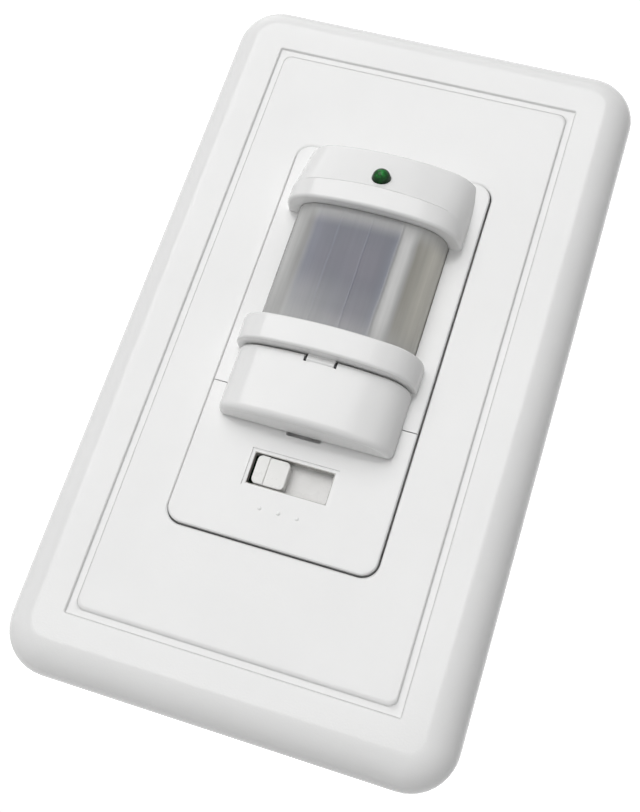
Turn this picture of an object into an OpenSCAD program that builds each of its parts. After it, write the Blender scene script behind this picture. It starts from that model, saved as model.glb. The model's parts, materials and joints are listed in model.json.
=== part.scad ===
// Motion sensor light switch for a wall box: a clip-on plate around a sensor module.
// Frame: +X right, +Z up, the front faces -Y, and the wall surface is the plane y = 0.

/* [Wall plate] */
// Width of the wall plate
plate_w = 70; // [66:0.5:90]
// Height of the wall plate
plate_h = 120; // [116:0.5:140]
// Depth of the wall plate, from the wall to its flat front
plate_d = 6; // [5.5:0.1:8]
// Wall thickness of the wall plate
plate_wall = 1.8; // [1.2:0.1:2]
// Corner radius of the wall plate
plate_corner_r = 7.5; // [6:0.5:10]
// Radius of the rounded front edge
plate_edge_r = 5.2; // [3:0.1:5.4]
// Width of the raised centre panel
panel_w = 49.4; // [44:0.2:54]
// Height of the raised centre panel
panel_h = 99.1; // [92:0.2:104]
// Corner radius of the centre panel
panel_corner_r = 1.4; // [0.5:0.1:4]
// Width of the groove around the centre panel
groove_w = 1.1; // [0.6:0.1:2]
// Depth of the groove around the centre panel
groove_depth = 0.45; // [0.2:0.05:0.8]

/* [Insert front] */
// Width of the insert
insert_w = 33; // [31:0.2:35]
// Height of the insert
insert_h = 66.4; // [64:0.2:70]
// Gap between the insert and the opening of the plate
insert_gap = 0.2; // [0.1:0.05:0.5]
// How far the insert stands proud of the plate
insert_proud = 0.6; // [0.3:0.1:1.5]
// Corner radius of the insert
insert_corner_r = 2.5; // [1.8:0.1:4]
// Thickness of the insert's front face
face_t = 1.6; // [1.2:0.1:2]
// Thickness of the insert's side walls
shell_wall = 1.5; // [1:0.1:1.8]
// Width of the joint line between upper and lower front
split_gap = 0.15; // [0.05:0.05:0.4]

/* [Sensor hood and lens] */
// Width of the hood and of the lip under the lens
hood_w = 29.2; // [28:0.2:31]
// How far the hood and the lip stand proud of the plate
hood_depth = 8.8; // [8:0.1:11]
// Height of the hood
hood_h = 11.9; // [10.5:0.1:13]
// Height of the upright band along the hood's lower edge
hood_band = 3.6; // [2.5:0.1:5]
// Lean of the hood's upper face
hood_slope = 25; // [15:1:30]
// Ledge between the hood's top and the insert's top edge
hood_ledge = 0.6; // [0.3:0.1:1.5]
// Radius of the bowed front of hood, lens, lip and door
bow_r = 45; // [35:1:70]
// Radius of the rounded sides of hood and lip
hood_corner_r = 6; // [4.5:0.1:6.5]
// Wall thickness of hood and lip
hood_wall = 1.4; // [1:0.1:1.6]
// Visible height of the lens
lens_h = 20.6; // [18:0.2:22]
// Width of the lens
lens_w = 25; // [22:0.2:25.6]
// How far the lens stands proud of the plate
lens_depth = 6.9; // [5.5:0.1:7.4]
// Thickness of the lens
lens_t = 0.9; // [0.6:0.1:1.2]
// Radius of the rounded sides of the lens
lens_corner_r = 5; // [3.5:0.1:5.4]
// Height of the lip under the lens
lip_h = 4.4; // [3.8:0.1:6]
// Diameter of the indicator lamp
led_d = 3.2; // [2.4:0.1:3.4]
// Height of the indicator lamp above the hood's crease
led_rise = 2.5; // [2:0.1:3]

/* [Adjuster door] */
// Width of the door
door_w = 28; // [26:0.2:29]
// Height of the door, from the lip down
door_h = 11.1; // [10:0.1:13]
// How far the door stands proud of the plate
door_depth = 6.8; // [6:0.1:7.4]
// Wall thickness of the door
door_wall = 1.2; // [1:0.1:1.5]
// Radius of the rounded sides of the door
door_corner_r = 5; // [4:0.1:5.4]
// Height of the joint line above the door's lower edge
split_rise = 5.1; // [4.9:0.1:5.5]
// Diameter of the door's hinge pin
pin_d = 0.7; // [0.6:0.05:0.8]
// Length of the door's hinge pin
pin_len = 10; // [8.5:0.1:12]
// Diameter of the hinge barrel
barrel_d = 1.4; // [1.4:0.05:2]
// Width of the hinge knuckle under the lip
knuckle_w = 4.4; // [3.5:0.1:5.5]
// Width of the fingernail notch under the door
nail_w = 5.6; // [4:0.1:8]

/* [Adjusters] */
// Width of the adjuster well behind the door
well_w = 22; // [20:0.2:23]
// Height of the adjuster well
well_h = 7.6; // [7.2:0.1:8]
// Distance between the two adjuster knobs
knob_pitch = 11; // [9:0.2:12]
// Diameter of an adjuster knob
knob_d = 5; // [4:0.1:6]
// Side of a trimmer's base
trimmer_side = 6.6; // [6.4:0.1:7.2]

/* [Mode slide] */
// Length of the slide's window
slot_w = 12.6; // [11:0.1:14]
// Height of the slide's window
slot_h = 4.9; // [4:0.1:6]
// Distance from the door's lower edge to the middle of the window
slot_drop = 6.7; // [6:0.1:8]
// Length of the slide knob
slider_w = 4.9; // [4:0.1:5.4]
// Distance between two of the slide's three positions
slide_pitch = 2.95; // [2.2:0.05:3]

/* [Mounting strap] */
// Thickness of the strap's sheet
strap_t = 1.2; // [1:0.1:1.6]
// Distance from the strap's ends to the plate's edges
strap_inset = 7; // [5:0.5:9]
// Width of the strap's ears
ear_w = 33; // [28:0.5:40]
// Distance between the wall box screws
box_pitch = 83.3; // [82:0.1:85]
// Diameter of the holes for the wall box screws
box_hole_d = 4; // [3.6:0.1:4.6]
// Distance from the sub-plate's screws to the strap's ends
sub_screw_inset = 4.6; // [4.2:0.1:6]
// Sideways place of the sub-plate's screws
sub_screw_x = 11; // [8:0.5:12]
// Thickness of the sub-plate
sub_t = 1.5; // [1.2:0.1:1.6]

/* [Rear housing] */
// Width of the rear housing
body_w = 44; // [42:0.5:48]
// Height of the rear housing
body_h = 66; // [65:0.5:70]
// Depth of the rear housing behind the wall surface
body_d = 32; // [30:0.5:40]
// Wall thickness of the rear housing
body_wall = 1.6; // [1.2:0.1:2]
// Sideways place of the housing screws
post_x = 11.5; // [10:0.1:11.8]
// Place of the housing screws above and below the middle
post_z = 29; // [28.6:0.1:29.2]
// Shank diameter of the housing screws
screw_d = 2.5; // [2:0.1:2.8]
// Depth at which the housing screws' heads sit
screw_seat = 8; // [6:0.5:12]

/* [Boards] */
// Thickness of the circuit boards
board_t = 1.6; // [1:0.1:2]
// Place of the front board behind the wall surface
front_board_y = 1.5; // [1:0.1:2]
// Place of the main board behind the wall surface
main_board_y = 22; // [21:0.5:24]
// Height of the relay's case above the main board
relay_h = 15; // [10:0.5:16]
// Diameter of the sensor's can
sensor_d = 8.2; // [7:0.1:9.2]
// Height of the sensor's can
sensor_h = 4.2; // [3:0.1:5]

/* [Hidden] */

$fn = 64;

// How far a cut runs past the face that it opens
cut = 1;
// Overlap of two features of one piece
weld = 0.2;
// How far the round sides of a bowed front pass its bow, so that the two arcs cross
bow_cross = 0.03;

// Levels along Y, front to back
panel_y = -plate_d;
face_y = panel_y - insert_proud;
face_in = face_y + face_t;
plate_in = panel_y + plate_wall;
strap_front = -strap_t;
sub_front = strap_front - sub_t;
hood_y = panel_y - hood_depth;
lens_y = panel_y - lens_depth;
door_y = panel_y - door_depth;

// Levels along Z, from the insert's top edge down
hood_top = insert_h / 2 - hood_ledge;
hood_low = hood_top - hood_h;
crease_z = hood_low + hood_band;
led_z = crease_z + led_rise;
lip_top = hood_low - lens_h;
lens_mid = (hood_low + lip_top) / 2;
lip_low = lip_top - lip_h;
door_low = lip_low - door_h;
split_z = door_low + split_rise;
slot_z = door_low - slot_drop;

// Fits
thread_fit = 0.05;
pin_press = 0.02;
pin_run = 0.05;
lens_fit = 0.1;
led_fit = 0.2;
knuckle_fit = 0.2;
knob_fit = 0.2;
slide_fit = 0.2;
// Room above the door and behind it
door_room = 0.2;
door_seat = 0.25;

// Door hinge
barrel_r = barrel_d / 2;
pin_r = pin_d / 2;
door_top = lip_low - door_room;
hinge_y = door_y + barrel_r;
hinge_z = door_top - barrel_r;
door_back = face_y - door_seat;

// Plate and sub-plate
plate_in_w = plate_w - 2 * plate_wall;
plate_in_h = plate_h - 2 * plate_wall;
// Step in the plate's hollow, which follows its rounded edge
hollow_step = 2;
step_y = sub_front - weld;
sub_fit = 0.4;
sub_w = plate_in_w - 2 * sub_fit;
sub_h = plate_in_h - 2 * sub_fit;
// Corner of the plate's hollow, and of the sub-plate in it
hollow_corner_ease = 0.7;
hollow_corner_r = plate_corner_r - plate_wall - hollow_corner_ease;
open_w = insert_w + 2 * insert_gap;
open_h = insert_h + 2 * insert_gap;
open_r = insert_corner_r + insert_gap;
// Room around the insert in the sub-plate
sub_open_gap = 0.6;
// Posts behind the panel that seat the plate, measured in from its edges
seat_inset = 11;
seat_r = 1.5;
// Clip hooks along the plate's long sides
hook_z = 30;
hook_w = 8;
hook_reach = 1.1;
hook_gap = 0.1;
hook_t = 0.8;
sub_screw_r = 1.7;
sub_head_r = 3.1;
sub_head_h = 1.2;
sub_screw_len = sub_t + strap_t;
driver_slot_w = 0.7;
driver_slot_depth = 0.5;
// Passage in the sub-plate for the heads of the wall box screws
box_head_r = 4.2;

// Strap
strap_len = plate_h - 2 * strap_inset;
sub_screw_z = strap_len / 2 - sub_screw_inset;
strap_corner_r = 3;
strap_margin = 2;
strap_mid_h = body_h + 2 * strap_margin;
strap_seat = 0.6;
strap_open_w = insert_w - 2 * (shell_wall + strap_seat);
strap_open_h = insert_h - 2 * shell_wall - weld;
strap_open_r = 1.5;
ground_r = 1.75;
ground_head_r = 3.4;
ground_head_h = 2.2;
ground_x = 12;
ground_gap = 0.6;
ground_z = -(body_h / 2 + ground_head_r + ground_gap);

// Posts and screws that hold front and rear together
screw_r = screw_d / 2;
post_wall = 0.95;
post_r = screw_r + post_wall;
head_rim = 1;
head_r = screw_r + head_rim;
head_h = 1.6;
tube_gap = 0.15;
tube_wall = 0.8;
tube_r = head_r + tube_gap + tube_wall;
screw_floor = 0.9;
screw_tip = face_in + screw_floor;
// Posts that carry the front board
stay_r = 1.3;
stay_gap = 0.2;
stay_rise = 3.3;
stay_lift = 4.65;
stay_x = strap_open_w / 2 - stay_r - stay_gap;
stay_top_z = hood_low + stay_rise;
stay_low_z = slot_z + stay_lift;

// Boards
board_gap = 0.3;
front_board_rear = front_board_y + board_t;
board_half_h = post_z - tube_r - board_gap;
board_side = 2.4;
front_board_w = body_w - 2 * (body_wall + board_side);
main_board_gap = 0.6;
main_board_w = body_w - 2 * (body_wall + main_board_gap);
tongue_w = 13;
tongue_room = 2.2;

// Indicator lamp
led_r = led_d / 2;
led_front = hood_y + led_rise * tan(hood_slope);
led_proud = 0.4;
led_tip = led_front - led_proud;
led_len = 5.2;
led_seat = led_tip + led_len;
led_flange = 0.4;
led_flange_t = 1;
led_boss_wall = 0.9;
led_leg = 0.5;
led_leg_pitch = 1.6;

// Lens flange behind the front face
lens_flange = 1.3;
lens_flange_t = 0.9;

// Adjusters
tray_t = 1;
tray_margin = 1.6;
knob_sunk = 0.4;
knob_front = face_y + knob_sunk;
trimmer_gap = 1.1;
trimmer_top = face_in + tray_t + trimmer_gap;
knob_lift = 0.15;
knob_rear = trimmer_top - knob_lift;
shaft_r = 1;
shaft_len = 2;
knob_slot_w = 0.8;
knob_slot_depth = 0.6;

// Mode slide: its cover plate runs behind the window, between two rails
cover_gap = 0.2;
floor_y = face_in + cover_gap;
cover_t = 1;
cover_lap = 0.6;
cover_end = 0.4;
cover_w = slot_w + 2 * (slide_pitch + cover_end);
cover_h = slot_h + 2 * cover_lap;
rail_t = 1;
rail_w = cover_w + 2 * (slide_pitch + slide_fit);
stem_w = 1.6;
stem_h = 1.4;
slider_step = 0.35;
slider_ridge = 0.4;
switch_gap = 0.2;
switch_top = floor_y + cover_t + switch_gap;
switch_margin = 1.4;
switch_h = 5.6;
stem_reach = 1.8;
stem_tip = switch_top + stem_reach;
switch_slot_w = 2 * slide_pitch + stem_w + 2 * slide_fit;
border_gap = 0.45;
border_w = 0.25;
border_depth = 0.15;
pip_r = 0.3;
pip_h = 0.12;
pip_drop = 3.3;
nail_drop = 0.6;
nail_depth = 0.7;

// Sensor
holder_t = 0.8;
holder_margin = 1.2;
holder_bore_r = 2.6;
sensor_flange = 0.5;
sensor_base = front_board_y - holder_t;
sensor_front = sensor_base - sensor_h;
sensor_window = [3.6, 2.6];
sensor_window_depth = 0.3;
sensor_leg_r = 0.23;
sensor_leg_ring = 1.8;

// Terminals: side of the housing and height
terminals = [[1, 1], [1, -1], [-1, 1]];
terminal_rise = 9;
terminal_y = 12;
pocket_side = 9;
pocket_depth = 5;
pocket_wall = 1.2;
clamp_side = 8;
clamp_t = 1;
terminal_r = 1.7;
terminal_head_r = 3;
terminal_head_h = 2;
terminal_tail = 1;
pocket_x = body_w / 2 - pocket_depth;

// Housing details
body_corner_r = 3;
rib_w = 3;
rib_z = 20;
rib_len = 8;
rib_grip = 1;
main_post_r = 2;
main_post_x = 14;
main_post_z = 20;

// Pins between the boards
pin_pitch = 2.54;
pin_count = 5;
pin_side = 0.64;
pin_room = 2.3;
pins_x = -(pocket_x - pocket_wall - pin_room);

// Parts on the main board: place across and up
relay_at = [3, 8];
relay_size = [16, 20];
film_at = [2, -9];
film_size = [18, 6];
film_h = 12;
low_row_inset = 6.5;
low_row_z = low_row_inset - board_half_h;
smoothing_at = [-4, low_row_z];
smoothing_d = 8;
smoothing_h = 12;
varistor_at = [6.5, low_row_z];
varistor_d = 8;
varistor_t = 3.4;
fuse_inset = 6.8;
fuse_at = [main_board_w / 2 - fuse_inset, low_row_z];
fuse_d = 4;
fuse_h = 8;
lead_r = 0.35;
lead_h = 1.5;

white_shell = [0.93, 0.93, 0.92];
white_trim = [0.9, 0.9, 0.89];
lens_grey = [0.58, 0.6, 0.66];
lamp_green = [0.02, 0.35, 0.1];
steel = [0.72, 0.73, 0.75];
brass = [0.78, 0.62, 0.3];
board_green = [0.1, 0.36, 0.2];
dark_plastic = [0.16, 0.16, 0.17];

// A rectangle with round corners
module round_rect(w, h, r) {
  square([w - 2 * r, h], center = true);
  square([w, h - 2 * r], center = true);
  for (sx = [-1, 1], sy = [-1, 1])
    translate([sx * (w / 2 - r), sy * (h / 2 - r)])
      circle(r);
}

// Stands an outline up in the XZ plane and runs it from y0 to y1
module run_y(y0, y1) {
  translate([0, y1, 0])
    rotate([90, 0, 0])
      linear_extrude(y1 - y0)
        children();
}

// A box between two corners
module box(low, high) {
  translate(low)
    cube(high - low);
}

// A round rod along Y
module rod_y(r, y0, y1) {
  translate([0, y1, 0])
    rotate([90, 0, 0])
      cylinder(r = r, h = y1 - y0);
}

// A round rod along X, centred
module rod_x(r, len) {
  rotate([0, 90, 0])
    cylinder(r = r, h = len, center = true);
}

// Plan of a bowed front with round sides: half width, crown, bow, corner and back
module bowed(hw, crown, bow, corner, back) {
  bow_y = crown + bow;
  corner_x = hw - corner;
  corner_y = bow_y - sqrt(pow(bow - corner, 2) - pow(corner_x, 2)) - bow_cross;
  meet_x = corner_x * bow / (bow - corner);
  intersection() {
    union() {
      intersection() {
        translate([0, bow_y])
          circle(bow, $fn = 128);
        translate([-meet_x, crown - cut])
          square([2 * meet_x, corner_y + corner - crown + cut]);
      }
      for (s = [-1, 1])
        translate([s * corner_x, corner_y])
          circle(corner);
      translate([-hw, corner_y])
        square([2 * hw, corner + max(back - corner_y, 0)]);
    }
    translate([-hw - cut, crown - cut])
      square([2 * (hw + cut), back - crown + cut]);
  }
}

// Section of the plate's rounded rim: out from the corner's centre, and up from the wall
module rim_section() {
  square([plate_corner_r, plate_d - plate_edge_r]);
  square([plate_corner_r - plate_edge_r, plate_d]);
  translate([plate_corner_r - plate_edge_r, plate_d - plate_edge_r])
    intersection() {
      circle(plate_edge_r);
      square(plate_edge_r);
    }
}

// The plate's outer form: a core, four straight rims and four corners
module plate_block() {
  core_w = plate_w - 2 * plate_corner_r;
  core_h = plate_h - 2 * plate_corner_r;
  rotate([90, 0, 0]) {
    translate([-core_w / 2, -core_h / 2, 0])
      cube([core_w, core_h, plate_d]);
    for (side = [0 : 3]) {
      run = side % 2 == 0 ? core_w : core_h;
      reach = side % 2 == 0 ? core_h / 2 : core_w / 2;
      rotate([0, 0, 90 * side])
        translate([-run / 2, reach, 0])
          rotate([90, 0, 90])
            linear_extrude(run)
              rim_section();
      rotate([0, 0, 90 * side])
        translate([run / 2, reach, 0])
          rotate_extrude(angle = 90)
            rim_section();
    }
  }
}

module wall_plate() {
  color(white_shell) {
    difference() {
      plate_block();
      // Groove around the centre panel
      run_y(panel_y - cut, panel_y + groove_depth)
        difference() {
          square([panel_w + 2 * groove_w, panel_h + 2 * groove_w], center = true);
          round_rect(panel_w, panel_h, panel_corner_r);
        }
      // Hollow behind, in two steps
      run_y(step_y, cut)
        round_rect(plate_in_w, plate_in_h, hollow_corner_r);
      run_y(plate_in, cut)
        round_rect(plate_in_w - 2 * hollow_step, plate_in_h - 2 * hollow_step, hollow_corner_r);
      // Opening for the insert
      run_y(panel_y - cut, cut)
        round_rect(open_w, open_h, open_r);
    }
    for (sx = [-1, 1], sz = [-1, 1]) {
      translate([sx * (plate_w / 2 - seat_inset), 0, sz * (plate_h / 2 - seat_inset)])
        rod_y(seat_r, plate_in - weld, sub_front);
      translate([sx * (plate_in_w / 2 - (hook_reach - weld) / 2), 0, sz * hook_z])
        translate([-(hook_reach + weld) / 2, strap_front + hook_gap, -hook_w / 2])
          cube([hook_reach + weld, hook_t, hook_w]);
    }
  }
}

module sub_plate() {
  color(white_trim)
    difference() {
      run_y(sub_front, strap_front)
        round_rect(sub_w, sub_h, hollow_corner_r);
      run_y(sub_front - cut, strap_front + cut)
        round_rect(insert_w + 2 * sub_open_gap, insert_h + 2 * sub_open_gap, open_r);
      for (s = [-1, 1]) {
        translate([0, 0, s * box_pitch / 2])
          rod_y(box_head_r, sub_front - cut, strap_front + cut);
        translate([s * sub_screw_x, 0, s * sub_screw_z]) {
          rod_y(sub_screw_r + thread_fit, sub_front - cut, strap_front + cut);
          translate([0, sub_front, 0])
            rotate([-90, 0, 0])
              cylinder(r1 = sub_head_r + thread_fit, r2 = sub_screw_r + thread_fit, h = sub_head_h);
        }
      }
    }
}

module sub_plate_screws() {
  color(steel)
    for (s = [-1, 1])
      translate([s * sub_screw_x, 0, s * sub_screw_z])
        difference() {
          union() {
            translate([0, sub_front, 0])
              rotate([-90, 0, 0])
                cylinder(r1 = sub_head_r, r2 = sub_screw_r, h = sub_head_h);
            rod_y(sub_screw_r, sub_front + sub_head_h / 2, sub_front + sub_screw_len);
          }
          box([-sub_head_r - cut, sub_front - cut, -driver_slot_w / 2],
              [sub_head_r + cut, sub_front + driver_slot_depth, driver_slot_w / 2]);
        }
}

module mounting_strap() {
  color(steel)
    difference() {
      run_y(strap_front, 0) {
        round_rect(body_w, strap_mid_h, strap_corner_r);
        round_rect(ear_w, strap_len, strap_corner_r);
      }
      run_y(strap_front - cut, cut)
        round_rect(strap_open_w, strap_open_h, strap_open_r);
      for (s = [-1, 1]) {
        translate([0, 0, s * box_pitch / 2])
          rod_y(box_hole_d / 2, strap_front - cut, cut);
        translate([s * sub_screw_x, 0, s * sub_screw_z])
          rod_y(sub_screw_r + thread_fit, strap_front - cut, cut);
      }
      translate([ground_x, 0, ground_z])
        rod_y(ground_r + thread_fit, strap_front - cut, cut);
    }
}

module ground_screw() {
  color(lamp_green)
    translate([ground_x, 0, ground_z])
      difference() {
        union() {
          rod_y(ground_r, strap_front, weld);
          translate([0, ground_head_h, 0])
            rotate([90, 0, 0])
              cylinder(r = ground_head_r, h = ground_head_h, $fn = 6);
        }
        box([-ground_head_r - cut, ground_head_h - driver_slot_depth, -driver_slot_w / 2],
            [ground_head_r + cut, ground_head_h + cut, driver_slot_w / 2]);
      }
}

// Hollow front shell of the insert between two heights
module insert_shell(z0, z1) {
  inner_r = max(insert_corner_r - shell_wall, 0.5);
  intersection() {
    difference() {
      run_y(face_y, strap_front)
        round_rect(insert_w, insert_h, insert_corner_r);
      run_y(face_in, strap_front + cut)
        round_rect(insert_w - 2 * shell_wall, insert_h - 2 * shell_wall, inner_r);
    }
    box([-insert_w, face_y - cut, z0], [insert_w, strap_front + cut, z1]);
  }
}

// The hood, or its hollow where it is set in from the outside
module hood_form(inset, back) {
  lean_len = 3 * hood_h;
  intersection() {
    translate([0, 0, hood_low + inset])
      linear_extrude(hood_h - 2 * inset)
        bowed(hood_w / 2 - inset, hood_y + inset, bow_r - inset, hood_corner_r - inset, back);
    translate([0, hood_y, crease_z])
      rotate([-hood_slope, 0, 0])
        translate([0, 0, -lean_len / 2])
          linear_extrude(lean_len)
            bowed(hood_w / 2 + weld - inset, inset, bow_r - inset, hood_corner_r - inset, lean_len);
  }
}

// The lip under the lens, or its hollow
module lip_form(inset, back) {
  translate([0, 0, lip_low + inset])
    linear_extrude(lip_h - 2 * inset)
      bowed(hood_w / 2 - inset, hood_y + inset, bow_r - inset, hood_corner_r - inset, back);
}

// A post for a housing screw, with the screw's hole
module screw_posts(sz) {
  for (sx = [-1, 1])
    translate([sx * post_x, 0, sz * post_z])
      difference() {
        rod_y(post_r, face_in - weld, 0);
        rod_y(screw_r + thread_fit, screw_tip - weld, cut);
      }
}

// Posts that carry the front board
module board_stays(z) {
  for (sx = [-1, 1])
    translate([sx * stay_x, 0, z])
      rod_y(stay_r, face_in - weld, front_board_y);
}

// Opening for the adjusters in the front face
module well_cut() {
  translate([0, 0, split_z])
    run_y(face_y - cut, face_in + cut)
      square([well_w, well_h], center = true);
}

module front_frame() {
  lens_half = lens_w / 2 + lens_fit;
  color(white_shell)
    difference() {
      union() {
        difference() {
          union() {
            insert_shell(split_z + split_gap / 2, insert_h / 2);
            hood_form(0, face_in);
            lip_form(0, face_in);
          }
          hood_form(hood_wall, face_in + cut);
          lip_form(hood_wall, face_in + cut);
          box([-lens_half, face_y - cut, lip_top], [lens_half, face_in + cut, hood_low]);
          well_cut();
        }
        // Sleeve for the indicator lamp
        intersection() {
          translate([0, 0, led_z])
            rod_y(led_r + led_fit + led_boss_wall, hood_y, led_seat);
          hood_form(hood_wall / 2, face_in);
        }
        // Hinge knuckle under the lip
        translate([0, hinge_y, hinge_z]) {
          rod_x(barrel_r, knuckle_w);
          box([-knuckle_w / 2, -barrel_r, 0], [knuckle_w / 2, barrel_r, barrel_r + door_room + weld]);
        }
        screw_posts(1);
        board_stays(stay_top_z);
      }
      translate([0, 0, led_z])
        rod_y(led_r + led_fit, hood_y - cut, led_seat + cut);
      translate([0, hinge_y, hinge_z])
        rod_x(pin_r + pin_press, knuckle_w + cut);
    }
}

module lower_front() {
  nail_r = (pow(nail_w / 2, 2) + pow(nail_drop, 2)) / (2 * nail_drop);
  border = border_gap + border_w;
  color(white_shell) {
    difference() {
      union() {
        insert_shell(-insert_h / 2, split_z - split_gap / 2);
        // Rails that guide the slide's cover plate
        for (s = [-1, 1])
          translate([0, 0, slot_z + s * (cover_h / 2 + slide_fit + rail_t / 2)])
            run_y(face_in - weld, floor_y + cover_t)
              square([rail_w, rail_t], center = true);
        screw_posts(-1);
        board_stays(stay_low_z);
      }
      well_cut();
      translate([0, 0, slot_z]) {
        run_y(face_y - cut, face_in + cut)
          square([slot_w, slot_h], center = true);
        // Fine line around the window
        run_y(face_y - cut, face_y + border_depth)
          difference() {
            square([slot_w + 2 * border, slot_h + 2 * border], center = true);
            square([slot_w + 2 * border_gap, slot_h + 2 * border_gap], center = true);
          }
      }
      // Fingernail notch under the door's lower edge
      intersection() {
        translate([0, 0, door_low - nail_drop + nail_r])
          rod_y(nail_r, face_y - cut, face_y + nail_depth);
        box([-nail_w, face_y - cut, door_low - nail_drop - cut],
            [nail_w, face_y + cut, door_low + door_wall]);
      }
    }
    // Marks of the three positions
    for (i = [-1 : 1])
      translate([i * slide_pitch, 0, slot_z - slot_h / 2 - pip_drop])
        rod_y(pip_r, face_y - pip_h, face_y + weld);
  }
}

module fresnel_lens() {
  half = lens_w / 2;
  back = face_in + lens_flange_t;
  color(lens_grey) {
    translate([0, 0, lip_top + lens_fit])
      linear_extrude(lens_h - 2 * lens_fit)
        difference() {
          bowed(half, lens_y, bow_r, lens_corner_r, back);
          bowed(half - lens_t, lens_y + lens_t, bow_r - lens_t, lens_corner_r - lens_t, back + cut);
        }
    translate([0, 0, lens_mid])
      run_y(face_in, back)
        difference() {
          square([lens_w + 2 * lens_flange, lens_h + 2 * lens_flange], center = true);
          square([lens_w - 2 * lens_t, lens_h - 2 * lens_t], center = true);
        }
  }
}

module indicator_led() {
  flange_at = led_seat - led_tip;
  color(lamp_green)
    translate([0, 0, led_z]) {
      translate([0, led_tip, 0])
        rotate([-90, 0, 0])
          rotate_extrude() {
            intersection() {
              translate([0, led_r])
                circle(led_r);
              square(led_r);
            }
            translate([0, led_r])
              square([led_r, flange_at - led_r]);
            translate([0, flange_at])
              square([led_r + led_flange, led_flange_t]);
          }
      for (s = [-1, 1])
        translate([s * led_leg_pitch / 2, 0, 0])
          box([-led_leg / 2, led_seat + led_flange_t - weld, -led_leg / 2],
              [led_leg / 2, front_board_y, led_leg / 2]);
    }
}

// Region of the door that clears the lip as it swings
module door_sweep() {
  side = door_w / 2 + cut;
  box([-side, door_y - cut, door_low - cut], [side, 0, hinge_z]);
  box([-side, hinge_y, door_low], [side, 0, door_top]);
  translate([0, hinge_y, hinge_z])
    rod_x(barrel_r, 2 * side);
}

// The door's outer form, or its hollow where it is set in from the outside
module door_form(inset, back) {
  translate([0, 0, door_low + inset])
    linear_extrude(door_top - door_low)
      bowed(door_w / 2 - inset, door_y + inset, bow_r - inset, door_corner_r - inset, back);
}

module adjuster_door() {
  notch = knuckle_w / 2 + knuckle_fit;
  notch_low = hinge_z - barrel_r - knuckle_fit;
  barrel_half = pin_len / 2 + door_wall;
  color(white_shell)
    difference() {
      intersection() {
        difference() {
          union() {
            difference() {
              door_form(0, door_back);
              door_form(door_wall, door_back + cut);
            }
            // Block around the hinge pin
            intersection() {
              door_form(0, door_back);
              box([-barrel_half, door_y - cut, hinge_z - barrel_r],
                  [barrel_half, hinge_y + barrel_r, door_top + cut]);
            }
          }
          box([-notch, door_y - cut, notch_low], [notch, 0, door_top + cut]);
        }
        door_sweep();
      }
      translate([0, hinge_y, hinge_z])
        rod_x(pin_r + pin_run, pin_len + 2 * pin_run);
    }
}

module door_hinge_pin() {
  color(steel)
    translate([0, hinge_y, hinge_z])
      rod_x(pin_r, pin_len);
}

module adjuster_tray() {
  color(white_trim)
    translate([0, 0, split_z])
      run_y(face_in, face_in + tray_t)
        difference() {
          round_rect(well_w + 2 * tray_margin, well_h + 2 * tray_margin, tray_margin / 2);
          for (s = [-1, 1])
            translate([s * knob_pitch / 2, 0])
              circle(knob_d / 2 + knob_fit);
        }
}

// An adjuster knob with its shaft and a driver slot
module adjuster_knob(side) {
  translate([side * knob_pitch / 2, 0, split_z])
    difference() {
      union() {
        rod_y(knob_d / 2, knob_front, knob_rear);
        rod_y(shaft_r, knob_rear - weld, knob_rear + shaft_len);
      }
      box([-knob_slot_w / 2, knob_front - cut, -knob_d],
          [knob_slot_w / 2, knob_front + knob_slot_depth, knob_d]);
    }
}

module time_knob() {
  color(white_trim)
    adjuster_knob(-1);
}

module light_knob() {
  color(white_trim)
    adjuster_knob(1);
}

module trimmer_bases() {
  color(dark_plastic)
    for (s = [-1, 1])
      translate([s * knob_pitch / 2, 0, split_z])
        difference() {
          run_y(trimmer_top, front_board_y)
            square(trimmer_side, center = true);
          rod_y(shaft_r + pin_run, trimmer_top - cut, knob_rear + shaft_len + knob_fit);
        }
}

module slide_knob() {
  height = slot_h - 2 * slide_fit;
  front = face_y + pin_run;
  color(white_trim)
    translate([-slide_pitch, 0, slot_z])
      difference() {
        union() {
          box([-slider_w / 2, front, -height / 2], [slider_w / 2, floor_y + weld, height / 2]);
          run_y(floor_y, floor_y + cover_t)
            square([cover_w, cover_h], center = true);
          box([-stem_w / 2, floor_y + cover_t - weld, -stem_h / 2], [stem_w / 2, stem_tip, stem_h / 2]);
        }
        // Step that leaves a finger ridge along one side
        box([slider_w * (slider_ridge - 0.5), front - cut, -height],
            [slider_w, front + slider_step, height]);
      }
}

module slide_switch() {
  color(dark_plastic)
    translate([0, 0, slot_z])
      difference() {
        run_y(switch_top, front_board_y)
          square([switch_slot_w + 2 * switch_margin, switch_h], center = true);
        run_y(switch_top - cut, stem_tip + slide_fit)
          square([switch_slot_w, stem_h + 2 * slide_fit], center = true);
      }
}

module pir_sensor() {
  color(steel)
    translate([0, 0, lens_mid]) {
      difference() {
        rod_y(sensor_d / 2, sensor_front, sensor_base);
        run_y(sensor_front - cut, sensor_front + sensor_window_depth)
          square(sensor_window, center = true);
      }
      rod_y(sensor_d / 2 + sensor_flange, sensor_base - sensor_flange, sensor_base);
      for (a = [0 : 120 : 240])
        translate([sensor_leg_ring * cos(a), 0, sensor_leg_ring * sin(a)])
          rod_y(sensor_leg_r, sensor_base - weld, front_board_y);
    }
}

module sensor_holder() {
  color(white_trim)
    translate([0, 0, lens_mid])
      difference() {
        rod_y(sensor_d / 2 + holder_margin, sensor_base, front_board_y);
        rod_y(holder_bore_r, sensor_base - cut, front_board_y + cut);
      }
}

module front_board() {
  color(board_green)
    run_y(front_board_y, front_board_rear) {
      square([front_board_w, 2 * board_half_h], center = true);
      translate([-tongue_w / 2, 0])
        square([tongue_w, led_z + tongue_room]);
    }
}

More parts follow.
